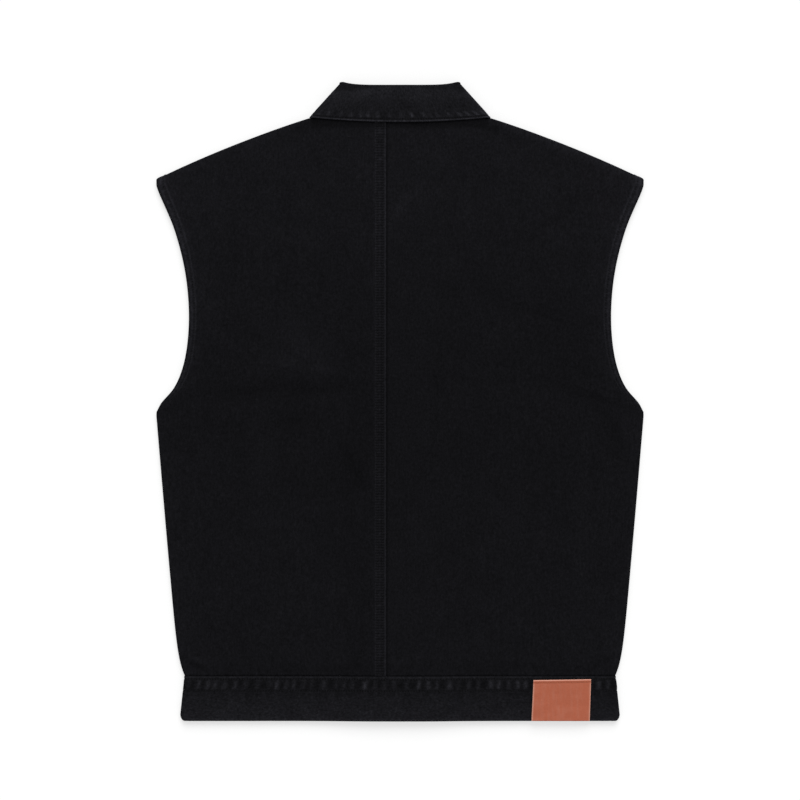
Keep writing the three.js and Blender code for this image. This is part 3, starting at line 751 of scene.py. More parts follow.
def panel(middle_x, top_y, neck_line, scoop, side, columns, rows):
    """Places over a panel, its share of the turn at its edges, its distance from the side, where it
    is open at the armhole, and the share of its height."""
    width = UNDERARM["half"] - middle_x
    depth = top_y - BAND_TOP["y"]
    neck_share = (NECK_POINT["half"] - middle_x) / (TIP["half"] - middle_x)
    radius = (BACK_LEVEL - FRONT_LEVEL) / 2
    inset, turn = fold_stations(radius, TURN_STEPS)
    u = np.concatenate([columns / width, (1 - inset / width)[::-1]])
    v = np.concatenate([rows, (1 - inset / depth)[::-1]])
    column_turn = np.concatenate([np.ones(len(columns)), turn[::-1]])
    row_turn = np.concatenate([np.ones(len(rows)), turn[::-1]])
    low_y = BAND_TOP["y"] + WAIST_GAP
    middle = vectors(np.full_like(v, middle_x), lerp(low_y, top_y, v))
    side_line = side_edge(v, scoop)
    low = vectors(lerp(middle_x, BAND_TOP["half"], u), np.full_like(u, low_y))
    top = top_edge(u, neck_share, neck_line)
    low_corner = np.array([BAND_TOP["half"], low_y])
    ends = side_edge(np.array([1.0]), scoop)[0]
    uu, vv = u[None, :, None], v[:, None, None]
    sides = lerp(middle[:, None], side_line[:, None], uu)
    across = lerp(low[None], top[None], vv)
    low_mix = lerp(np.array([middle_x, low_y]), low_corner, uu)
    high_mix = lerp(np.array([middle_x, top_y]), ends, uu)
    places = sides + across - lerp(low_mix, high_mix, vv)
    x, y = side * places[..., 0], places[..., 1]
    opened = smooth(SIDE_SHARE, SIDE_SHARE + OPENING_BLEND, v)[:, None]
    side_turn = lerp(column_turn[None], lerp(SEAM_TURN, 1, column_turn)[None], opened)
    over_shoulder = smooth(neck_share - NECK_BLEND, neck_share + NECK_BLEND, u)[None]
    top_turn = lerp(1, row_turn[:, None], over_shoulder)
    from_side = (1 - u)[None] * width * np.ones_like(x)
    return x, y, side_turn * top_turn, from_side, opened * np.ones_like(x), v[:, None] * np.ones_like(x)


def unevenness(x, y):
    """Small soft creases, longer across the panel than up it."""
    total = 0
    for kind, lean_x, lean_y, height in UNEVENNESS:
        total += height * lumps(kind, x + lean_x * y, y + lean_y * x)
    return total


def waist_gathers(x, y):
    above = y - BAND_TOP["y"]
    lean = x + WAIST_GATHERS["lean"] * above * np.sign(lumps("gather lean", x, y * 0))
    patchy = WAIST_GATHERS["even"] + WAIST_GATHERS["uneven"] * lumps("gather share", x, y * 0)
    near = np.exp(-above / WAIST_GATHERS["reach"])
    return WAIST_GATHERS["depth"] * near * patchy * puckers("waist", lean, above)


def armhole_hem(from_side, along):
    """The looks of the turned and sewn armhole edge."""
    width, blend = ARMHOLE_HEM["width"], ARMHOLE_HEM["blend"]
    in_hem = 1 - smooth(width - blend, width + blend, from_side)
    puckered = puckers("hem", along, from_side) * bump(from_side, width / 2, ARMHOLE_HEM["puckers"])
    near = np.exp(-from_side / ARMHOLE_HEM["reach"])
    # The hem lines include painted shade in the stitch groove
    looks = lines(from_side, HEM_LINES) + look("hem", in_hem)
    return looks + look("hem puckers", puckered) + look("near hem", near)


def felled_seam(from_seam, y):
    """The looks of the felled seam's top strip, and how strongly it is sewn."""
    width = BACK_SEAM["width"]
    strip = 1 - smooth(width - SEAM_EDGE["blend"], width, from_seam)
    ropes = puckers("back seam", y, from_seam) * bump(from_seam, *BUMPS["seam ropes"])
    dips = bumps(from_seam, BACK_SEAM["stitches"], SEAM_DIP)
    shade = bump(from_seam, *BUMPS["seam shade"]) * (1 - smooth(*SEAM_SHADE_FADE, y))
    looks = lines(from_seam, SEAM_LINES) + look("seam shade", shade) + look("seam strip", strip)
    # The seam dips carry painted shade in the stitch grooves
    looks += look("seam ropes", strip * ropes) + look("seam dips", strip * dips)
    looks += look("seam edge", strip * bump(from_seam, 0, SEAM_EDGE["width"]))
    in_strip = strip * smooth(*SEAM_SEWN["from"], from_seam)
    return looks, in_strip * (SEAM_SEWN["even"] + SEAM_SEWN["at_stitch"] * dips)


def back_panel(name, side, materials):
    is_left = side < 0
    lap = BACK_SEAM["lap"]
    seam_x = -BACK_SEAM["x"] if is_left else BACK_SEAM["x"] - lap
    width = UNDERARM["half"] - seam_x
    hem = ARMHOLE_HEM["width"] + MARGIN
    strip = BACK_SEAM["width"] + MARGIN
    columns = stations(
        (0, strip, FINE if is_left else PITCH / 2),
        (strip, width - hem, PITCH),
        (width - hem, width - EDGE_MARGIN, HEM_PITCH),
    )
    rows = stations((0, SHARE_TO_EDGE, PITCH / (NECK_POINT["y"] - BAND_TOP["y"])))
    top_y = NECK_POINT["y"] + NECK_CREST

    def neck_line(t):
        return vectors(lerp(seam_x, NECK_POINT["half"], t), lerp(top_y, NECK_POINT["y"], t))

    x, y, turn, from_side, opened, v = panel(seam_x, top_y, neck_line, 0, side, columns, rows)
    from_seam = side * x - seam_x
    hump = back_hump(x)
    folds = fold_height(x, y, FOLDS)
    folds = np.where(folds < 0, folds * (1 - hump), folds)
    sharp = fold_height(x, y, CREASES)
    gathers = waist_gathers(x, y)
    off_seam = smooth(lap, lap + CREASE_FADE["seam"], from_seam)
    relief = (unevenness(x, y) + sharp) * off_seam * smooth(*CREASE_FADE["side"], from_side)
    relief += gathers * off_seam * smooth(*CREASE_FADE["gathers"], from_side)
    relief = np.maximum(relief, lerp(DEEPEST_CREASE["free"], DEEPEST_CREASE["on_strips"], hump))
    over = back_height(x, y) + folds + relief
    z = lerp((over + front_height(x, y, STRIP_LIFT)) / 2, over, turn)
    grid = vectors(x, y, z)

    # Folds, relief and creases painted darker in their troughs and lighter on their ridges, as shade and
    # light
    looks = look("back lumps", lumps("back wear", x, y)) + look("folds", folds) + look("relief", relief)
    looks += look("painted crease light and shade", sharp) + look("gathers", gathers)
    # Painted light along the sides, where the cloth turns over
    looks += look("painted side light", np.exp(-from_side / PAINTED_SIDE_LIGHT_REACH))
    # Painted light and shade along the waist, and slow changes of tone up the back
    looks += lines(y, WAIST_LIGHT_AND_SHADE_LINES) + fades(y, LEFT_FADES if is_left else RIGHT_FADES)
    # Painted shadow on the back just below the collar's edge
    shade = smooth(*COLLAR_SHADE["fade"], y) * (np.abs(x) < COLLAR_SHADE["half"])
    looks += look("painted collar shadow", shade)
    shoulder = bump(shoulder_y(np.abs(x)) - y, *BUMPS["shoulder"]) * smooth(*SHOULDER_FADE, np.abs(x))
    looks += look("left shoulder" if is_left else "right shoulder", shoulder)

    along = v * 2 * ARM_LENGTH[-1]
    looks += opened * armhole_hem(from_side, along)
    sewn_weight = bump(from_side, ARMHOLE_HEM["stitch"], ARMHOLE_HEM["sewn"]) * opened
    sewn_at, hollowed = along, np.zeros_like(x)
    if is_left:
        seam, seam_sewn = felled_seam(from_seam, y)
        looks += seam
        low, high = SEAM_EDGE["lift"]
        hollowed = BACK_SEAM["lifted"] * (1 - smooth(lap + low, lap + high, from_seam))
        sewn_weight = np.maximum(sewn_weight, seam_sewn)
        sewn_at = np.where(seam_sewn > 0, y, along)
        grid, looks = grid[:, ::-1], looks[:, :, ::-1]
        sewn_at, sewn_weight, hollowed = sewn_at[:, ::-1], sewn_weight[:, ::-1], hollowed[:, ::-1]
    else:
        # Painted shadow in the groove beside the left panel's lapped edge
        low, high = SEAM_EDGE["groove"]
        looks += look("painted seam groove shadow", 1 - smooth(lap + low, lap + high, from_seam))
    sewn_along = (sewn_at, sewn_weight)
    obj = wall(name, grid, CLOTH, materials["denim"], clipped(looks), None, sewn_along, hollowed)
    return obj, grid


def front_neck(t):
    angle = t * math.pi / 2
    x = lerp(COLLAR_END["half"], NECK_POINT["half"], np.sin(angle))
    y = lerp(STRIP_TOP, NECK_POINT["y"], 1 - np.cos(angle))
    return vectors(x, y)


def front_panel(name, side, materials):
    middle_x = STRIP_HALF + SEAM_GAP
    strip_lift = STRIP_LIFT if side < 0 else INNER_LIFT
    share = (middle_x - COLLAR_END["half"]) / (NECK_POINT["half"] - COLLAR_END["half"])
    start = math.asin(share) / (math.pi / 2)
    top_y = float(front_neck(np.array(start))[1])
    width = UNDERARM["half"] - middle_x
    fine_from = width - FRONT_EDGE["margin"]
    columns = stations((0, fine_from, HIDDEN_PITCH), (fine_from, width - EDGE_MARGIN, FRONT_EDGE["pitch"]))
    rows = stations((0, SHARE_TO_EDGE, HIDDEN_PITCH / (top_y - BAND_TOP["y"])))

    def neck_line(t):
        return front_neck(lerp(start, 1, t))

    x, y, turn, from_side, opened, _ = panel(middle_x, top_y, neck_line, FRONT_SCOOP, side, columns, rows)
    under = front_height(x, y, strip_lift)
    z = lerp((back_height(x, y) + under) / 2, under, turn)
    edge = opened * bump(from_side, 0, FRONT_EDGE["width"])
    looks = look("front lumps", lumps("front wear", x, y)) + look("front edge", edge)
    grid = vectors(x, y, z)
    if side > 0:
        grid, looks = grid[:, ::-1], looks[:, :, ::-1]
    return wall(name, grid, CLOTH, materials["denim"], looks), grid


# Front strips
def button_places():
    return np.linspace(BUTTON["bottom"], BUTTON["top"], BUTTON["count"])


def buttonhole_cutter(y, height, material):
    """A keyhole-shaped block: a round eye for the shank with a slit either side."""
    radius = BUTTON["shank"] + SEAM_GAP
    half, slit = BUTTONHOLE["length"] / 2, BUTTONHOLE["slit"] / 2
    lean = math.asin(slit / radius)
    angles = np.linspace(lean, math.pi - lean, BUTTONHOLE["steps"])
    upper = [(radius * math.cos(a), radius * math.sin(a)) for a in angles]
    outline = [(half, slit)] + upper + [(-half, slit), (-half, -slit)]
    outline += [(-px, -py) for px, py in upper] + [(half, -slit)]
    low = np.array([(px, y + py, -CUT_MARGIN) for px, py in outline])
    high = low + (0, 0, height + CUT_MARGIN)
    faces = tube_faces(2, len(outline))
    return new_object("buttonhole_cutter", placed(np.vstack([low, high])), faces, material)


def cut(obj, cutters):
    for cutter in cutters:
        modifier = obj.modifiers.new("buttonhole", "BOOLEAN")
        modifier.operation = "DIFFERENCE"
        modifier.solver = "EXACT"
        modifier.object = cutter
    bpy.context.view_layer.update()
    evaluated = obj.evaluated_get(bpy.context.evaluated_depsgraph_get())
    mesh = bpy.data.meshes.new_from_object(evaluated)
    obj.modifiers.clear()
    obj.data = mesh
    for cutter in cutters:
        bpy.data.objects.remove(cutter)


def front_strip(name, lift, has_holes, materials):
    y = stations((BAND_TOP["y"] + SEAM_GAP, STRIP_TOP - SEAM_GAP, HIDDEN_PITCH))
    x = stations((-STRIP_HALF, STRIP_HALF, STRIP_EDGE["pitch"]))
    xx, yy = np.meshgrid(x, y)
    grid = vectors(xx, yy, np.full_like(xx, lift + STRIP_CLOTH / 2))
    edge = bump(np.abs(xx), STRIP_HALF, STRIP_EDGE["width"])
    looks = look("strip edge", edge) + look("front lumps", lumps("strip wear", xx, yy))
    obj = wall(name, grid, STRIP_CLOTH, materials["denim"], looks)
    if has_holes:
        through = INNER_LIFT + STRIP_CLOTH
        cut(obj, [buttonhole_cutter(place, through, materials["denim"]) for place in button_places()])
    return obj


# Waistband
def band_grid():
    """The strip from its left front end round the back to its right front end, as a grid."""
    half = BAND_CLOTH / 2
    radius = (BAND_LEVEL - half) / 2
    rounded_to, plain_to, sewn_to = BAND_ROWS["rounded"], BAND_ROWS["plain"], BAND_ROWS["sewn"]
    y = stations(
        (0, rounded_to, EDGE_PITCH),
        (rounded_to, plain_to, PITCH),
        (plain_to, sewn_to, FINE),
        (sewn_to, BAND_TOP["y"], EDGE_PITCH),
    )
    inner_lift = STRIP_LIFT + BAND_CLOTH + SEAM_GAP
    angle = np.radians(np.linspace(-90, 90, BAND_ROWS["turn_steps"]))[1:-1]
    side_x = (band_half(y) - half - radius)[:, None]
    span = float(side_x.max())
    front_x = lerp(-side_x, STRIP_HALF, stations((0, 1, PITCH * BAND_ROWS["front"] / span))[None])
    back_x = side_x * stations((-1, 1, PITCH * BAND_ROWS["back"] / span))[None]

    def outer_end(x):
        return half + STRIP_LIFT * (1 - smooth(*RAMP, np.abs(x)))

    def inner_end(x):
        return half + inner_lift * np.where(x < RAMP[0], 1, 1 - smooth(*RAMP, x))

    turn_x = side_x + radius * np.cos(angle)[None]
    turn_z = np.tile(half + radius + radius * np.sin(angle), (len(y), 1))
    x = np.hstack([front_x[:, ::-1], -turn_x, back_x, turn_x[:, ::-1], -front_x])
    back_z = BAND_LEVEL + BACK_RISE * back_hump(back_x)
    z = np.hstack([outer_end(front_x[:, ::-1]), turn_z, back_z, turn_z[:, ::-1], inner_end(-front_x)])
    grid = vectors(x, np.tile(y[:, None], (1, x.shape[1])), z)
    is_back = np.zeros(x.shape[1])
    first = front_x.shape[1] + len(angle)
    is_back[first : first + back_x.shape[1]] = 1
    return grid, is_back


def waistband(materials):
    grid, is_back = band_grid()
    x, y = grid[..., 0], grid[..., 1]
    length = lengths_along(grid[-1])
    s = np.tile(length, (len(grid), 1))
    slack = plateau(y, **BAND_SLACK)
    ropes = puckers("band", s, y - BAND_FOOT)
    pull = waves(s + BAND_PULL["lean"] * y, BAND_PULL["waves"], BAND_PULL["seed"])
    pull = pull * bump(y, *BUMPS["band pull"])
    dips = bumps(y, BAND_STITCHES, BAND_DIP)
    looks = look("band ropes", slack * ropes) + look("band slack", slack) + look("band pull", pull)
    # The band dips carry painted shade in the stitch grooves
    looks += look("band dips", dips) + look("band lumps", lumps("band wear", s, y))
    looks += look("band hem", 1 - smooth(*BAND_HEM_FADE, y))
    # Painted highlight, painted shade and edge wear along the band, and slow changes of tone
    looks += lines(y, BAND_WEAR_LIGHT_AND_SHADE_LINES) + fades(y, BAND_FADES) + fades(x, BAND_SIDE_FADES)
    looks[0] += rounded(BAND_TOP["y"] - y, *BAND_TOP_ROUND) + rounded(y, *BAND_HEM_ROUND)
    lift = BAND_WAVES["height"] * lumps("band waves", s, y)
    lift += BAND_WAVES["ripples"] * lumps("band ripples", s, y)
    grid[..., 2] += lift * is_back[None] * (1 - back_hump(x))
    cloth = vectors(y, s, s * 0)
    obj = wall("waistband_cloth", grid, BAND_CLOTH, materials["band"], clipped(looks), cloth, (s, dips))
    through = STRIP_LIFT + BAND_CLOTH + SEAM_GAP / 2
    cut(obj, [buttonhole_cutter(BUTTON["band"], through, materials["band"])])
    return obj, length[-1]


# Collar
def collar_sections(count_roll, count_leaf):
    """Places across the collar: -1 at its neck seam, 0 on the roll and 1 at its outer edge. Each has
    its distance from the collar's middle height, and how far the roll reaches out there."""
    stand, fall = COLLAR_LEVELS["stand"], COLLAR_LEVELS["fall"]
    roll = (fall - stand) / 2
    plain = np.linspace(0, COLLAR_FINE_FROM, count_leaf, endpoint=False)
    leaf = np.concatenate([plain, np.linspace(COLLAR_FINE_FROM, 1, count_leaf)])
    stand_steps = max(COLLAR_STEPS["fewest"], count_leaf // 2)
    sections = [(place, stand, 0) for place in np.linspace(-1, 0, stand_steps)]
    for angle in np.radians(np.linspace(-TURN_ANGLE, TURN_ANGLE, count_roll)):
        sections.append((0, (stand + fall) / 2 + roll * math.sin(angle), roll * math.cos(angle)))
    return sections + [(place, fall, 0) for place in leaf]


def over_roll(place, at_seam, on_roll, at_edge):
    return lerp(on_roll, at_seam if place < 0 else at_edge, abs(place))


def collar_point(stretch, t, place, radius, reach):
    """One point of the right half of the collar: on the back, round the shoulder, or on the front."""
    stand, fall, middle = (COLLAR_LEVELS[key] for key in ("stand", "fall", "middle"))
    outward = COLLAR_CLOTH / 2 + (fall - stand) / 2
    seam = np.array([NECK_POINT["half"] - NECK_OFFSET, NECK_POINT["y"] + NECK_OFFSET])
    ear = np.array([ROLL["ear_half"] - EAR_INSET, ROLL["ear_y"] - outward])
    wing = np.array([FALL["half"] - COLLAR_CLOTH / 2, FALL["y"]])
    edge = over_roll(place, seam, ear, wing) + (0, reach)
    if stretch == "back":
        seam_y = NECK_POINT["y"] + NECK_CREST + SEAM_GAP
        y = over_roll(place, seam_y, ROLL["middle_y"] - outward, FALL["middle_y"]) + reach
        bend = over_roll(place, EDGE_BEND, ROLL["bend"], EDGE_BEND)
        away = np.sign(radius - (stand + fall) / 2)
        puff = ROLL_PUFF * over_roll(place, 0, 1, 0) ** 2 * (1 - t**PUFF_POWER) * away
        return t * (edge[0] - radius), lerp(y, edge[1], t**bend), middle + radius + puff
    if stretch == "turn":
        return edge[0] - radius * (1 - math.cos(t)), edge[1], middle + radius * math.sin(t)
    start = edge - (radius, 0)
    seam_end = np.array([COLLAR_END["half"], STRIP_TOP + 2 * SEAM_GAP])
    end, point = (np.array([tip["half"], tip["y"]]) for tip in (COLLAR_END, COLLAR_POINT))
    finish = over_roll(place, seam_end, end, point) + (0, reach)
    angle = t * math.pi / 2
    curved = (lerp(finish[0], start[0], math.cos(angle)), lerp(start[1], finish[1], math.sin(angle)))
    p = lerp(lerp(start, finish, t), np.array(curved), over_roll(place, 1, COLLAR_CURL, 0))
    return p[0], p[1], middle - radius


def collar_grid():
    steps = {key: round(count * COLLAR_SHARE) for key, count in COLLAR_STEPS.items()}
    sections = collar_sections(steps["roll"], steps["leaf"])
    turn = np.radians(np.linspace(TURN_ANGLE, -TURN_ANGLE, COLLAR_STEPS["turn"]))
    places = [("back", t) for t in np.linspace(0, 1, steps["back"])]
    places += [("turn", angle) for angle in turn]
    places += [("front", t) for t in np.linspace(0, 1, steps["front"])]
    right = np.array([[collar_point(*place, *section) for section in sections] for place in places])
    return np.concatenate([right[:0:-1] * (-1, 1, 1), right])


def collar(materials):
    grid = collar_grid()
    step = np.linalg.norm(np.diff(grid, axis=1), axis=-1)
    across = np.concatenate([np.zeros((len(grid), 1)), np.cumsum(step, axis=1)], axis=1)
    from_edge = across[:, -1:] - across
    edge_length = lengths_along(grid[:, -1])
    along = edge_length[:, None] + across * 0
    lip = 1 - smooth(*COLLAR_LIP, from_edge)
    slack = plateau(from_edge, **COLLAR_SLACK)
    ropes = puckers("collar", along, from_edge)
    dip = bump(from_edge, COLLAR_STITCH, COLLAR_DIP)
    on_fall = 1 - smooth(*COLLAR_FALL["fade"], from_edge)
    swell = COLLAR_FALL["height"] * lumps("collar waves", along, from_edge) * on_fall
    swell = swell * smooth(*COLLAR_FALL["waves"], from_edge)
    # The collar dip carries painted shade in the stitch groove
    looks = look("collar lip", lip * ropes) + look("collar ropes", slack * ropes) + look("collar dip", dip)
    looks += look("collar waves", swell) + look("collar lumps", lumps("collar wear", along, from_edge))
    looks += lines(from_edge, COLLAR_LINES)
    fall = look("collar fall", np.ones_like(along)) + look("collar slack", slack)
    fall += fades(from_edge, FALL_FADES) + lines(from_edge, FALL_LINES)
    looks += on_fall * (fall + fades(np.abs(grid[..., 0]), FALL_SIDE_FADES))
    looks[0] += rounded(from_edge, *COLLAR_ROUND)
    grid = grid + surface_normals(grid) * np.maximum(swell, 0)[..., None]
    above = grid[..., 2] - COLLAR_LEVELS["middle"]
    droop = (1 - smooth(0, COLLAR_DROOP["reach"], from_edge)) * smooth(0, COLLAR_DROOP["blend"], above)
    grid[..., 2] -= COLLAR_DROOP["depth"] * droop
    cloth = vectors(along, across, along * 0)
    obj = wall("collar_cloth", grid, COLLAR_CLOTH, materials["band"], clipped(looks), cloth, (along, dip))
    area = float((step[:-1] * np.diff(edge_length)[:, None]).sum())
    return obj, (edge_length[-1], across[:, -1].max()), area


# Patch
def patch_point(u, v):
    a, b, c, d = (np.array(corner) for corner in PATCH_CORNERS)
    u, v = np.asarray(u)[..., None], np.asarray(v)[..., None]
    return lerp(lerp(a, b, u), lerp(d, c, u), v)


def patch_size():
    a, b, c, _ = PATCH_CORNERS
    return b[0] - a[0], c[1] - b[1]


def patch(materials):
    width, depth = patch_size()
    uu, vv = np.meshgrid(stations((0, 1, FINE / width)), stations((0, 1, FINE / depth)))
    places = patch_point(uu, vv)
    x, y = places[..., 0], places[..., 1]
    z = BAND_LEVEL + BAND_CLOTH / 2 + SEAM_GAP + PATCH_THICKNESS / 2 + PATCH_LIFT
    grid = vectors(x, y, z + PATCH_BOW * lumps("patch bow", x, y))
    from_top = (1 - vv) * depth
    from_edge = np.minimum(from_top, vv * depth + PATCH_HEM_MARGIN)
    from_edge = np.minimum(from_edge, np.minimum(uu, 1 - uu) * width)
    edge = bump(from_edge, *BUMPS["patch edge"])
    looks = look("patch grain", lumps("patch grain", x, y))
    looks += look("patch dents", lumps("patch dents", x, y))
    # The patch dip carries painted shade in the stitch groove
    looks += look("patch dip", bump(from_top, PATCH_STITCH, PATCH_DIP)) + look("patch edge", edge)
    looks += look("patch lumps", lumps("patch wear", x, y) * (1 - edge))
    looks[0] += rounded(from_edge, *PATCH_ROUND)
    return wall("patch_leather", grid, PATCH_THICKNESS, materials["leather"], looks)


# Buttons
def ring(radius, z, count, y):
    angle = np.linspace(0, 2 * math.pi, count, endpoint=False)
    return vectors(radius * np.cos(angle), y + radius * np.sin(angle), np.full(count, z))


def button(name, y, shank_top, materials):
    profile = [(BUTTON_MIDDLE["radius"], BUTTON_MIDDLE["z"])]
    profile += [(BUTTON["radius"] * share, z) for share, z in BUTTON_PROFILE]
    profile += [
        (BUTTON_FOOT["radius"], BUTTON["height"]),
        (BUTTON["shank"], BUTTON_FOOT["blend"]),
        (BUTTON["shank"], shank_top),
        (BUTTON_MIDDLE["radius"], shank_top),
    ]
    count = BUTTON_FOOT["sides"]
    points = np.vstack([ring(radius, z, count, y) for radius, z in profile])
    faces = tube_faces(len(profile), count)
    obj = new_object(f"{name}_metal", placed(points), faces, materials["metal"])
    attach(obj, "root")
    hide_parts(name)


# Stitches
def one_stitch(line, normals, length, start, size):
    """The points of one stitch, ring by ring."""
    places = start + size["length"] * np.array([share for share, _ in STITCH_FORM])
    spine = vectors(*(np.interp(places, length, line[:, k]) for k in range(3)))
    up = np.array([np.interp(places[1], length, normals[:, k]) for k in range(3)])
    up /= np.linalg.norm(up)
    across = np.cross(spine[-1] - spine[0], up)
    across /= np.linalg.norm(across)
    points = []
    for centre, (_, share) in zip(spine, STITCH_FORM):
        for side, rise in STITCH_RING:
            aside = across * side * share * size["width"] / 2
            points.append(centre + aside + up * size["height"] * (rise * share - STITCH_SINK))
    return points


def sewn(name, rows, size, material):
    """One object for many rows of stitches. A row is (points on the cloth, which way is up at each)."""
    points, faces = [], []
    sides = tube_faces(len(STITCH_FORM), len(STITCH_RING))
    for line, normals in rows:
        length = lengths_along(line)
        for start in np.arange(size["pitch"] / 2, length[-1] - size["length"], size["pitch"]):
            faces += [[number + len(points) for number in face] for face in sides]
            points += one_stitch(line, normals, length, start, size)
    points = np.array(points)
    points[:, 2] = np.maximum(points[:, 2], 0)
    obj = new_object(name, placed(points), faces, material)
    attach(obj, "root")
    return obj


def path(points, pitch=2.0):
    """Closely spaced places along a line of points."""
    points = np.asarray(points, float)
    length = lengths_along(points)
    at = np.linspace(0, length[-1], max(2, round(length[-1] / pitch)))
    return vectors(*(np.interp(at, length, points[:, k]) for k in range(2)))


def dropped(obj, places, from_above=True):
    """The places let fall, or raised, onto a finished piece, and which way it faces at each."""
    line, normals = [], []
    way = Vector((0, 0, -1 if from_above else 1))
    for x, y in places:
        origin = Vector((x * MM, y * MM + HEM_Y, -way.z * DROP_FROM * MM))
        hit, place, normal, _ = obj.ray_cast(origin, way)
        if hit:
            line.append((place.x / MM, (place.y - HEM_Y) / MM, place.z / MM))
            normals.append(tuple(normal))
    return np.array(line), np.array(normals)


def armhole_line(side, inset):
    along = np.gradient(ARM_CURVE, axis=0)
    across = vectors(-along[:, 1], along[:, 0])
    across /= np.linalg.norm(across, axis=1)[:, None]
    line = ARM_CURVE + across * inset
    margin = SEWN_MARGIN["armhole"]
    keep = (line[:, 1] > UNDERARM["y"] + margin) & (line[:, 1] < TIP["y"] - margin)
    return line[keep] * (side, 1)


def tack_line(obj, x, y):
    """A line just long enough for one stitch, which is then centred on the tack."""
    start = x - (TACK["pitch"] + TACK["length"]) / 2
    end = start + TACK["pitch"] + TACK["length"] * 2
    return dropped(obj, path([(start, y), (end, y)], pitch=1.0))


def all_stitches(left, right, band, neck, label, materials):
    """Sews the finished pieces, and returns the sewing on each."""
    thread = materials["thread"]
    bpy.context.view_layer.update()
    low, high = BAND_TOP["y"] + SEWN_MARGIN["waist"], FALL["middle_y"] + SEWN_MARGIN["collar"]
    seam_xs = [BACK_SEAM["x"] - inset for inset in BACK_SEAM["stitches"]]
    left_rows = [dropped(left, path([(x, low), (x, high)])) for x in seam_xs]
    left_rows.append(dropped(left, path(armhole_line(-1, ARMHOLE_HEM["stitch"]))))
    right_rows = [dropped(right, path(armhole_line(1, ARMHOLE_HEM["stitch"])))]
    on_left = sewn("stitches_back_left", left_rows, STITCH, thread)
    on_right = sewn("stitches_back_right", right_rows, STITCH, thread)
    tack_rows = [tack_line(left if x < 0 else right, x, y) for x, y in TACKS]
    tacks = sewn("tacks", tack_rows, TACK, materials["tack"])
    half, inner = BAND_TOP["half"] - SEWN_MARGIN["side"], STRIP_HALF + SEWN_MARGIN["strip"]
    band_rows = [dropped(band, path([(-half, y), (half, y)])) for y in BAND_STITCHES]
    band_rows += [dropped(band, path([(-half, y), (-inner, y)]), False) for y in BAND_STITCHES]
    on_band = sewn("stitches_waistband", band_rows, STITCH, thread)
    right_half = [(x, FALL["middle_y"] + COLLAR_STITCH + rise) for x, rise in COLLAR_STITCH_LINE]
    left_half = [(-x, y) for x, y in right_half[:0:-1]]
    neck_rows = [dropped(neck, path(left_half + right_half))]
    on_neck = sewn("stitches_collar", neck_rows, STITCH, thread)
    share = 1 - PATCH_STITCH / PATCH_CORNERS[2][1]
    label_rows = [dropped(label, path(patch_point(np.array(PATCH_STITCH_ENDS), np.array([share, share]))))]
    on_label = sewn("stitches_patch", label_rows, PATCH_THREAD, materials["tan_thread"])
    return {
        "left": [on_left, tacks],
        "right": [on_right],
        "band": [on_band],
        "neck": [on_neck],
        "label": [on_label],
    }


# Materials
class Graph:
    """A new material, with short ways to add shader nodes and join them."""

    def __init__(self, name, finish, metallic=0.0):
        self.material = bpy.data.materials.new(name)
        self.material.use_nodes = True
        self.tree = self.material.node_tree
        roughness, specular = finish
        self.surface("Roughness", roughness)
        self.surface("Specular IOR Level", specular)
        self.surface("Metallic", metallic)

    def set(self, socket, value):
        if isinstance(value, bpy.types.NodeSocket):
            self.tree.links.new(value, socket)
        else:
            socket.default_value = value

    def surface(self, name, value):
        self.set(self.tree.nodes["Principled BSDF"].inputs[name], value)

    def node(self, kind, inputs, output=0, **settings):
        made = self.tree.nodes.new("ShaderNode" + kind)
        for name, value in settings.items():
            setattr(made, name, value)
        for socket, value in inputs.items():
            self.set(made.inputs[socket], value)
        return made.outputs[output]

    def math(self, operation, *values):
        return self.node("Math", dict(enumerate(values)), operation=operation)

    def product(self, first, *others):
        for other in others:
            first = self.math("MULTIPLY", first, other)
        return first

    def attribute(self, name, output="Fac"):
        return self.node("Attribute", {}, output, attribute_name=name)

    def part(self, vector, axis):
        return self.node("SeparateXYZ", {0: vector}, axis)

    def noise(self, vector, cells, detail):
        mapped = self.node("Mapping", {"Vector": vector, "Scale": cells})
        return self.node("TexNoise", {"Vector": mapped, "Scale": 1.0, "Detail": detail}, "Fac")

    def scaled(self, value, low, high):
        return self.node("MapRange", dict(enumerate((value, 0.0, 1.0, low, high))))

    def tinted(self, colour, factor):
        return self.node("VectorMath", {0: colour, "Scale": factor}, operation="SCALE")

    def mixed(self, share, low, high):
        # A Mix node has sockets of one name for each kind of data, so those for colours go by number
        inputs = {0: share, 6: (*low, 1.0), 7: (*high, 1.0)}
        return self.node("Mix", inputs, 2, data_type="RGBA")

    def relief(self, height, strength, depth):
        inputs = {"Height": height, "Strength": strength, "Distance": depth * MM}
        self.surface("Normal", self.node("Bump", inputs))


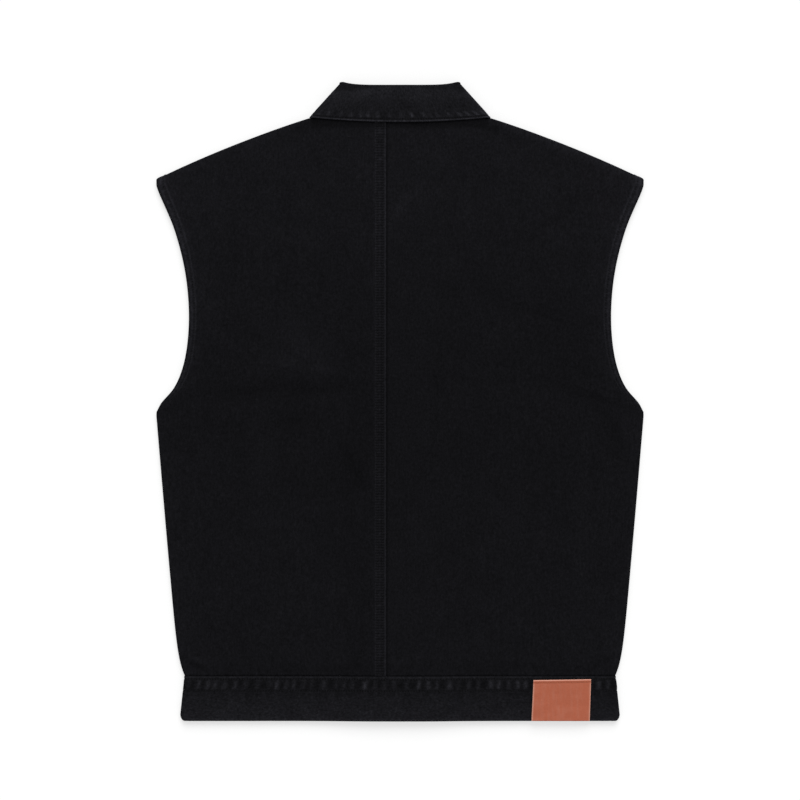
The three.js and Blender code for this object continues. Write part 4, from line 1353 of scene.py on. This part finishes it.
def denim_material(name, colour, coarseness):
    """Black twill: diagonal ribs, streaks up the cloth, worn edges, and painted light and painted shade."""
    g = Graph(name, DENIM_FINISH)
    cloth = g.attribute("cloth", "Vector")
    across, up = g.product(g.part(cloth, 0), TWILL["across"]), g.product(g.part(cloth, 1), TWILL["up"])
    diagonal = g.product(g.math("ADD", across, up), 2 * math.pi / TWILL["pitch"])
    wobble = g.noise(cloth, TWILL_WOBBLE["cells"], TWILL_WOBBLE["detail"])
    wobble = g.product(wobble, TWILL_WOBBLE["strength"])
    rib = g.math("SINE", g.math("ADD", diagonal, wobble))
    grain = g.scaled(g.math("MULTIPLY_ADD", rib, 0.5, 0.5), *TWILL["shade"])
    texture = {}
    for kind, (cells, detail, low, high, follows) in GRAIN.items():
        texture[kind] = g.noise(cloth, cells, detail)
        spread = coarseness if follows else 1
        shade = g.scaled(texture[kind], 1 + (low - 1) * spread, 1 + (high - 1) * spread)
        grain = g.product(grain, shade)
    threads, sewn_at = texture["threads"], g.attribute("sewn", "Vector")
    beat = g.math("SINE", g.product(g.part(sewn_at, 0), 2 * math.pi / STITCH["pitch"]))
    beat = g.product(beat, g.part(sewn_at, 1), STITCH_BEAT)
    # The stored tone, real wear together with painted light and painted shade, lightens or darkens the
    # colour
    worn_and_shaded = g.math("ADD", beat, g.product(g.attribute("wear_and_shade"), g.scaled(threads, *WORN_THREADS)))
    g.surface("Base Color", g.tinted(colour, g.product(grain, g.math("POWER", WEAR_AND_SHADE_BASE, worn_and_shaded))))
    height = g.math("ADD", g.product(rib, DENIM_RELIEF["rib"]), g.product(threads, DENIM_RELIEF["threads"]))
    g.relief(height, DENIM_RELIEF["strength"], DENIM_RELIEF["depth"])
    return g.material


def plain_material(name, colour, cells, detail, shade, finish, metallic=0.0):
    """One colour that noise makes uneven, for thread and metal."""
    g = Graph(name, finish, metallic)
    where = g.node("TexCoord", {}, "Object")
    g.surface("Base Color", g.tinted(colour, g.scaled(g.noise(where, cells, detail), *shade)))
    return g.material


def leather_material(name):
    """Tan leather with a mottled face, a fine grain, a lighter cut edge and painted shade in its stitch
    groove.
    """
    g = Graph(name, LEATHER_FINISH)
    cloth = g.attribute("cloth", "Vector")
    wear_and_shade = g.attribute("wear_and_shade")
    mottle = g.scaled(g.noise(cloth, MOTTLE["cells"], MOTTLE["detail"]), *MOTTLE["share"])
    pores = g.noise(cloth, PORES["cells"], PORES["detail"])
    share = g.math("ADD", g.product(wear_and_shade, MOTTLE["wear_and_shade"]), mottle)
    share = g.math("MINIMUM", g.math("MAXIMUM", share, 0.0), 1.0)
    shade = g.product(g.scaled(pores, *PORES["shade"]), g.math("POWER", LEATHER_WEAR_AND_SHADE_BASE, wear_and_shade))
    g.surface("Base Color", g.tinted(g.mixed(share, LEATHER, LEATHER_EDGE), shade))
    g.relief(pores, PORES["strength"], PORES["depth"])
    return g.material


def floor_material(name):
    g = Graph(name, FLOOR_FINISH)
    g.surface("Base Color", (*FLOOR, 1.0))
    g.surface("Emission Color", WHITE)
    g.surface("Emission Strength", FLOOR_GLOW)
    return g.material


def all_materials():
    def thread(name, colour):
        return plain_material(name, colour, **STRANDS, finish=THREAD_FINISH)

    return {
        "denim": denim_material("denim", DENIM, COARSENESS["denim"]),
        "band": denim_material("denim_band", BAND_DENIM, COARSENESS["band"]),
        "leather": leather_material("leather"),
        "thread": thread("thread", THREAD),
        "tan_thread": thread("tan_thread", TAN_THREAD),
        "tack": thread("tack_thread", TACK_THREAD),
        "metal": plain_material("metal", METAL, **TARNISH, finish=METAL_FINISH, metallic=1.0),
    }


# Stage
def camera():
    data = bpy.data.cameras.new("camera")
    data.lens = CAMERA["lens"]
    data.sensor_width = CAMERA["sensor"]
    data.clip_end = CAMERA["far"]
    distance = FRAME_WIDTH * data.lens / data.sensor_width
    obj = added("camera", data)
    obj.location = (0, PHOTO_MIDDLE_Y * MM + HEM_Y, (distance + BACK_LEVEL) * MM)
    bpy.context.scene.camera = obj


def sun():
    data = bpy.data.lights.new("top light", "SUN")
    data.angle = math.radians(SUN["softness"])
    data.energy = SUN["strength"]
    obj = added("top light", data)
    obj.location = SUN["from"]
    obj.rotation_euler = (-Vector(SUN["from"])).to_track_quat("-Z", "Y").to_euler()


def stage():
    half = FLOOR_SIZE / 2
    corners = np.array([(-half, -half), (half, -half), (half, half), (-half, half)])
    corners = np.column_stack([corners, np.full(4, -FLOOR_DROP)]) * MM
    floor = new_object("floor", corners, [(0, 1, 2, 3)], floor_material("floor"))
    sun()
    world = bpy.data.worlds.new("world")
    world.use_nodes = True
    background = world.node_tree.nodes["Background"]
    background.inputs["Color"].default_value = WHITE
    background.inputs["Strength"].default_value = WORLD_LIGHT
    bpy.context.scene.world = world
    bpy.context.scene.view_settings.view_transform = "Standard"


# The whole vest
def flat_of(grid):
    """(width, length) of a panel that lies flat, and the area inside its outline."""
    x, y = grid[..., 0], grid[..., 1]
    edge_x, edge_y, _ = rim_of(grid).T
    area = abs(np.dot(edge_x, np.roll(edge_y, -1)) - np.dot(edge_y, np.roll(edge_x, -1))) / 2
    return (np.ptp(x), np.ptp(y)), area


def build():
    materials = all_materials()
    left, left_grid = back_panel("back_left_cloth", -1, materials)
    right, right_grid = back_panel("back_right_cloth", 1, materials)
    front_left, front_left_grid = front_panel("front_left_cloth", -1, materials)
    front_right, front_right_grid = front_panel("front_right_cloth", 1, materials)
    strip_left = front_strip("placket_left_cloth", STRIP_LIFT, True, materials)
    strip_right = front_strip("placket_right_cloth", INNER_LIFT, False, materials)
    band, band_length = waistband(materials)
    neck, neck_flat, neck_area = collar(materials)
    label = patch(materials)
    for i, y in enumerate(button_places()):
        button(f"button_{i + 1}", y, INNER_LIFT - SEAM_GAP, materials)
    button("button_waist", BUTTON["band"], STRIP_LIFT + BAND_CLOTH, materials)
    sewing = all_stitches(left, right, band, neck, label, materials)

    fronts = ["front_left_cloth", "front_right_cloth"]
    strip = (2 * STRIP_HALF, STRIP_TOP - BAND_TOP["y"])
    band_flat = (band_length, BAND_TOP["y"])
    soft(left, "back_left", "denim", *flat_of(left_grid), fronts, sewing["left"])
    soft(right, "back_right", "denim", *flat_of(right_grid), fronts, sewing["right"])
    soft(front_left, "front_left", "denim", *flat_of(front_left_grid), ["floor"])
    soft(front_right, "front_right", "denim", *flat_of(front_right_grid), ["floor"])
    soft(strip_left, "placket_left", "denim", strip, math.prod(strip), ["button_1_metal"])
    soft(strip_right, "placket_right", "denim", strip, math.prod(strip), ["placket_left_cloth"])
    soft(band, "waistband", "denim_band", band_flat, math.prod(band_flat), ["floor"], sewing["band"])
    soft(neck, "collar", "denim_band", neck_flat, neck_area, ["back_left_cloth"], sewing["neck"])
    size = patch_size()
    soft(label, "leather_patch", "leather", size, math.prod(size), ["waistband_cloth"], sewing["label"])


camera()
stage()
build()
